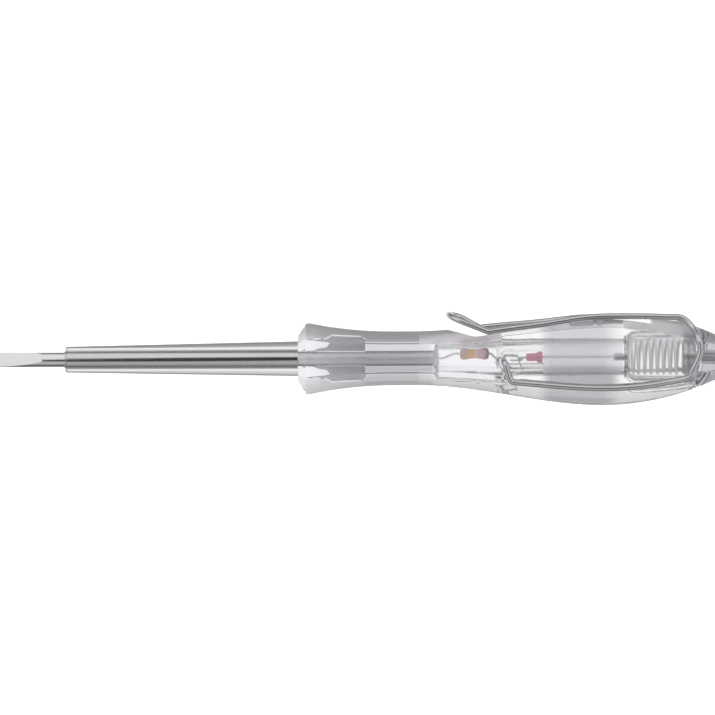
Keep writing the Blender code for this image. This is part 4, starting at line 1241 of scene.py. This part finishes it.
blade_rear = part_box("blade")[1].x
forged_x = handle_front + WING_OUTLINE[0][0]
blade_profile = [(0, 0)] + [(x, shank_radius) for x in (0, forged_x, blade_rear)] + [(blade_rear, 0)]
blade = painted(new_piece("ground_blade", spun(blade_profile, 64), ground_steel), [forged_steel],
                lambda centre, normal: 1 if centre.x > forged_x else 0)
half_tip = TIP_THICKNESS / 2
chord = Vector((GRIND_LENGTH, shank_radius - half_tip))
rise = math.sqrt(GRIND_WHEEL_RADIUS ** 2 - (chord.length / 2) ** 2)
wheel_centre = Vector((0, half_tip)) + chord / 2 + Vector((-chord.y, chord.x)).normalized() * rise
wheels = []
for side, label in SIDES:
    wheel = bmesh.new()
    place = Matrix.Translation((wheel_centre.x, 0, side * wheel_centre.y))
    turn = place @ Matrix.Rotation(math.pi / 2, 4, "X")
    turn = Matrix.Rotation(-math.radians(TIP_ROLL), 4, "X") @ turn
    bmesh.ops.create_cone(wheel, cap_ends=True, segments=GRIND_STEPS, radius1=GRIND_WHEEL_RADIUS,
                          radius2=GRIND_WHEEL_RADIUS, depth=2 * shank_radius + OVERRUN, matrix=turn)
    wheels.append(new_piece("grind_wheel_" + label, wheel, ground_steel))
cut(blade, wheels)
wings = wing_shape(0)
soften_rims(wings, WING_THICKNESS * WING_RIM_SHARE)
cut(blade, [new_piece("wings", wings, forged_steel)], operation="UNION")
stands_for(blade, "handle", "blade_steel", "blade")

# %% [markdown]
# The resistor limits the test current. It is a ceramic rod with a cap pressed on each end, all dipped in
# lacquer, so it is one turned piece with two thick ends. Its tan body and yellow band are a ramp along the
# tool, which is simpler than a ring of its own for each colour, and the ramp ends in a painted shade that
# darkens its rear end.

# %% Resistor
CAP_BLEND = 0.0007
RESISTOR_SLIMNESS = 0.82
SHOULDER_SHARE = 0.35
END_HOLE_SHARE = 0.5
# The last stops darken the resistor's rear end with a painted shade.
BAND_AND_SHADE_STOPS = ((0.00, (0.76, 0.57, 0.50)), (0.28, (0.78, 0.59, 0.49)), (0.34, (0.88, 0.60, 0.32)),
              (0.50, (0.88, 0.61, 0.35)), (0.53, (0.92, 0.84, 0.79)), (0.56, (0.82, 0.62, 0.62)),
              (0.80, (0.74, 0.55, 0.56)), (0.92, (0.50, 0.37, 0.38)), (1.00, (0.36, 0.26, 0.27)))

body_low, body_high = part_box("resistor_body")
front_low, front_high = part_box("resistor_front_cap")
rear_low, rear_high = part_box("resistor_rear_cap")
lead_low, lead_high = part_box("resistor_front_lead")
resistor_axis = (body_low.y + body_high.y) / 2
waist = (body_high.y - body_low.y) / 2 * RESISTOR_SLIMNESS
flare = (front_high.y - front_low.y) / 2 * RESISTOR_SLIMNESS
shoulder = mix(waist, flare, SHOULDER_SHARE)
lead_radius = (lead_high.z - lead_low.z) / 2
bone = [(front_low.x, lead_radius * END_HOLE_SHARE)]
bone += corner_arc(front_low.x + CAP_BLEND, flare - CAP_BLEND, CAP_BLEND, 180, 90, 6)
bone += [(front_high.x - CAP_BLEND / 2, flare), (front_high.x + CAP_BLEND / 2, shoulder),
         (front_high.x + CAP_BLEND * 1.5, waist), (rear_low.x - CAP_BLEND * 1.5, waist),
         (rear_low.x - CAP_BLEND / 2, shoulder), (rear_low.x + CAP_BLEND / 2, flare)]
bone += corner_arc(rear_high.x - CAP_BLEND, flare - CAP_BLEND, CAP_BLEND, 90, 0, 6)
bone += [(rear_high.x, lead_radius * END_HOLE_SHARE)]
resistor_shape = spun(bone, 64, closed=True)
bmesh.ops.translate(resistor_shape, vec=(0, resistor_axis, 0), verts=resistor_shape.verts)
lacquer_bands_and_shade = graded(tan_lacquer, "banded_shaded_lacquer", front_low.x, rear_high.x, BAND_AND_SHADE_STOPS)
resistor = new_piece("coated_resistor", resistor_shape, lacquer_bands_and_shade, 60.0)
stands_for(resistor, "handle", "resistor_lacquer", "resistor_body", "resistor_front_cap", "resistor_rear_cap")

# %% [markdown]
# The leads and electrodes are thin wires, so each is a circle extruded along a smooth path between the
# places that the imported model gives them, with its ends rounded over.

# %% Leads and electrodes
LEAD_SIDES = 20
LEAD_STEPS = 10
LEAD_END_ROUND = 0.35
STEP_SHARES = (0.25, 0.75)
ELECTRODE_STEP = 0.0004
LAMP_WALL = 0.0004


def lead(name, node, knots, radius, material):
    """A thin wire through knots of place and height, with its end faces' rims rounded."""
    shape = swept(smooth_path([Vector((x, y, 0)) for x, y in knots], LEAD_STEPS), radius, LEAD_SIDES)
    soften_rims(shape, radius * LEAD_END_ROUND)
    return stands_for(new_piece(name, shape, material, 60.0), "handle", "tinned_copper", node)


def stepped(low_x, high_x, start_y, end_y):
    """Knots of a wire that steps from one height to another between two straight ends."""
    leave, reach = [mix(low_x, high_x, share) for share in STEP_SHARES]
    return [(low_x, start_y), (leave, start_y), (reach, end_y), (high_x, end_y)]


for name, start_y in (("resistor_front_lead", 0), ("resistor_rear_lead", resistor_axis)):
    end_y = resistor_axis - start_y
    low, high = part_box(name)
    lead("fine_" + name, name, stepped(low.x, high.x, start_y, end_y), lead_radius, tinned)

electrode_low, electrode_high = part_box("lamp_front_electrode")
electrode_radius = (electrode_high.z - electrode_low.z) / 2
electrode_lift = electrode_high.y - electrode_radius
rear_electrode_low, rear_electrode_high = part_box("lamp_rear_electrode")
bead_low, bead_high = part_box("lamp_bead")
glass_low, glass_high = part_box("lamp_glass")
lamp_radius = glass_high.y
seal_x = glass_low.x + lamp_radius
inner_front = seal_x - (lamp_radius - LAMP_WALL) * math.cos(math.radians(30)) + ELECTRODE_STEP
lead("fine_front_electrode", "lamp_front_electrode",
     [(electrode_low.x, 0), (inner_front, 0), (inner_front + ELECTRODE_STEP, electrode_lift),
      (electrode_high.x, electrode_lift)], electrode_radius, coated_wire)
rear_bend = bead_low.x - ELECTRODE_STEP
lead("fine_rear_electrode", "lamp_rear_electrode",
     [(rear_electrode_low.x, -electrode_lift), (rear_bend - ELECTRODE_STEP, -electrode_lift), (rear_bend, 0),
      (rear_electrode_high.x, 0)], electrode_radius, coated_wire)

# %% [markdown]
# The lamp is blown glass, spun from a thin profile with a pinched front and a fire-rounded rim. The bead
# that seals its wires is spun too, with a soft shoulder in front and a flared skirt at its rear.

# %% Glow lamp and bead
RIM_ROUND = LAMP_WALL / 2
LAMP_STEPS = 64
BEAD_SHOULDER = 0.0004
BEAD_BODY_SHARE = 0.68
BEAD_SKIRT_START = 0.0018
BEAD_SKIRT_END = 0.0026
BEAD_RIM_ROUND = 0.0002

inner_radius = lamp_radius - LAMP_WALL
glass_profile = corner_arc(seal_x, 0, lamp_radius, 150, 90, 12)
glass_profile += [(glass_high.x - RIM_ROUND, lamp_radius)]
glass_profile += corner_arc(glass_high.x - RIM_ROUND, lamp_radius - RIM_ROUND, RIM_ROUND, 75, -75, 6)
glass_profile += [(glass_high.x - RIM_ROUND, inner_radius)]
glass_profile += corner_arc(seal_x, 0, inner_radius, 90, 150, 12)
wire_hole = electrode_radius + LAMP_WALL / 4
glass_profile += [(glass_profile[-1][0], wire_hole), (glass_profile[0][0], wire_hole)]
lamp = new_piece("blown_lamp", spun(glass_profile, LAMP_STEPS, closed=True), lamp_glass)
stands_for(lamp, "handle", "lamp_glass", "lamp_glass")

bead_radius = bead_high.y
body_radius = bead_radius * BEAD_BODY_SHARE
skirt_start, skirt_end = bead_low.x + BEAD_SKIRT_START, bead_low.x + BEAD_SKIRT_END
bead_profile = [(bead_low.x, wire_hole)]
bead_profile += corner_arc(bead_low.x + BEAD_SHOULDER, body_radius - BEAD_SHOULDER, BEAD_SHOULDER, 180, 90, 8)
for share in steps_between(0, 1, 10):
    swell = share * share * (3 - 2 * share)
    bead_profile.append((mix(skirt_start, skirt_end, share), mix(body_radius, bead_radius, swell)))
bead_profile += corner_arc(bead_high.x - BEAD_RIM_ROUND, bead_radius - BEAD_RIM_ROUND,
                           BEAD_RIM_ROUND, 90, 0, 5)
bead_profile += [(bead_high.x, wire_hole)]
bead = new_piece("glazed_bead", spun(bead_profile, LAMP_STEPS, closed=True), red_glaze, 50.0)
stands_for(bead, "handle", "bead_red", "lamp_bead")

# %% [markdown]
# The rear contacts are turned parts: the plunger's pin and disc, the stud's chamfered head and stem, and the
# touch cap with its rolled rim. Each is a profile spun round the axis, with its corners broken by a small
# arc, because a turned edge is never quite sharp and catches a thin line of light.

# %% Plunger, stud and touch cap
TURNED_STEPS = 96
EDGE_BREAK = 0.00015
PLUNGER_PIN_LENGTH = 0.0020
PLUNGER_PIN_RADIUS = 0.0008
STUD_CHAMFER = 0.0004
STUD_GROOVE = 0.0003
CAP_RIM = 0.0009
CAP_FACE_RADIUS = 0.0018
CAP_DISH = 0.0001
CAP_DISH_SHARE = 0.8


def broken(x, radius, turn):
    """Points of a profile's outer corner with its edge broken by a small arc, front (-1) or rear (1)."""
    centre_x = x - turn * EDGE_BREAK
    start, end = (90, 0) if turn > 0 else (180, 90)
    return corner_arc(centre_x, radius - EDGE_BREAK, EDGE_BREAK, start, end, 4)


plunger_low, plunger_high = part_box("contact_plunger")
disc_front = plunger_low.x + PLUNGER_PIN_LENGTH
plunger_profile = [(plunger_low.x, 0)] + broken(plunger_low.x, PLUNGER_PIN_RADIUS, -1)
plunger_profile += [(disc_front, PLUNGER_PIN_RADIUS)] + broken(disc_front, plunger_high.y, -1)
plunger_profile += broken(plunger_high.x, plunger_high.y, 1) + [(plunger_high.x, 0)]
plunger = new_piece("turned_plunger", spun(plunger_profile, TURNED_STEPS), nickel)
stands_for(plunger, "plunger", "nickel_plate", "contact_plunger")

stud_low, stud_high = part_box("contact_stud")
head_radius = stud_high.y
head_middle = (stud_low.x + handle_rear) / 2
stud_profile = [(stud_low.x, 0), (stud_low.x, head_radius - STUD_CHAMFER)]
stud_profile += [(stud_low.x + STUD_CHAMFER, head_radius), (head_middle - STUD_GROOVE, head_radius)]
stud_profile += [(head_middle, head_radius - STUD_GROOVE), (head_middle + STUD_GROOVE, head_radius)]
stud_profile += broken(handle_rear, head_radius, 1) + [(handle_rear, STUD_RADIUS), (stud_high.x, STUD_RADIUS),
                                                       (stud_high.x, 0)]
stud = new_piece("turned_stud", spun(stud_profile, TURNED_STEPS), dark_nickel)
stands_for(stud, "handle", "nickel_plate", "contact_stud")

cap_low, cap_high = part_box("touch_cap")
cap_socket = STUD_RADIUS + FIT_GAP
rim_x = cap_low.x + CAP_RIM
cap_profile = [(stud_high.x + FIT_GAP, 0), (stud_high.x + FIT_GAP, cap_socket), (cap_low.x, cap_socket)]
cap_profile += broken(cap_low.x, cap_high.y, -1)
for angle in steps_between(0, math.pi / 2, 16):
    radius = mix(CAP_FACE_RADIUS, cap_high.y, math.cos(angle))
    cap_profile.append((mix(rim_x, cap_high.x, math.sin(angle)), radius))
cap_profile += [(cap_high.x - CAP_DISH, CAP_FACE_RADIUS * CAP_DISH_SHARE), (cap_high.x - CAP_DISH, 0)]
cap = new_piece("turned_touch_cap", spun(cap_profile, TURNED_STEPS), nickel)
stands_for(cap, "handle", "nickel_plate", "touch_cap")

# %% [markdown]
# The coil spring between them is one circle extruded along a coil, whose last half turn at each end lies
# flat, as on a real pressure spring.

# %% Coil spring
SPRING_WIRE_RADIUS = 0.0003
SPRING_TURNS = 7
COIL_STEPS = 48
END_TURN_SHARE = 0.5
END_RISE_SHARE = 0.05

spring_low, spring_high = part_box("contact_spring")
coil_radius = spring_high.y - SPRING_WIRE_RADIUS
coil_start = spring_low.x + SPRING_WIRE_RADIUS
coil_end = spring_high.x - SPRING_WIRE_RADIUS
end_rise = (coil_end - coil_start) * END_RISE_SHARE
coil = []
for step in range(round((SPRING_TURNS + 2 * END_TURN_SHARE) * COIL_STEPS) + 1):
    turned = step / COIL_STEPS
    share = (turned - END_TURN_SHARE) / SPRING_TURNS
    x = mix(coil_start + end_rise, coil_end - end_rise, share)
    if share < 0:
        x = mix(coil_start, coil_start + end_rise, turned / END_TURN_SHARE)
    if share > 1:
        x = mix(coil_end - end_rise, coil_end, (turned - END_TURN_SHARE - SPRING_TURNS) / END_TURN_SHARE)
    angle = turned * math.tau
    coil.append(Vector((x, coil_radius * math.cos(angle), coil_radius * math.sin(angle))))
spring = new_piece("coil_spring", swept(coil, SPRING_WIRE_RADIUS, 16), bright_spring, 60.0)
stands_for(spring, "handle", "spring_wire", "contact_spring")
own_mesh(spring)

# %% [markdown]
# Last, the box of all visible pieces is measured and printed, as that of the imported model was at the start.

# %% Sizes and the end
low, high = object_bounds()
print("visual box (mm):", [round((b - a) * 1000, 1) for a, b in zip(low, high)])
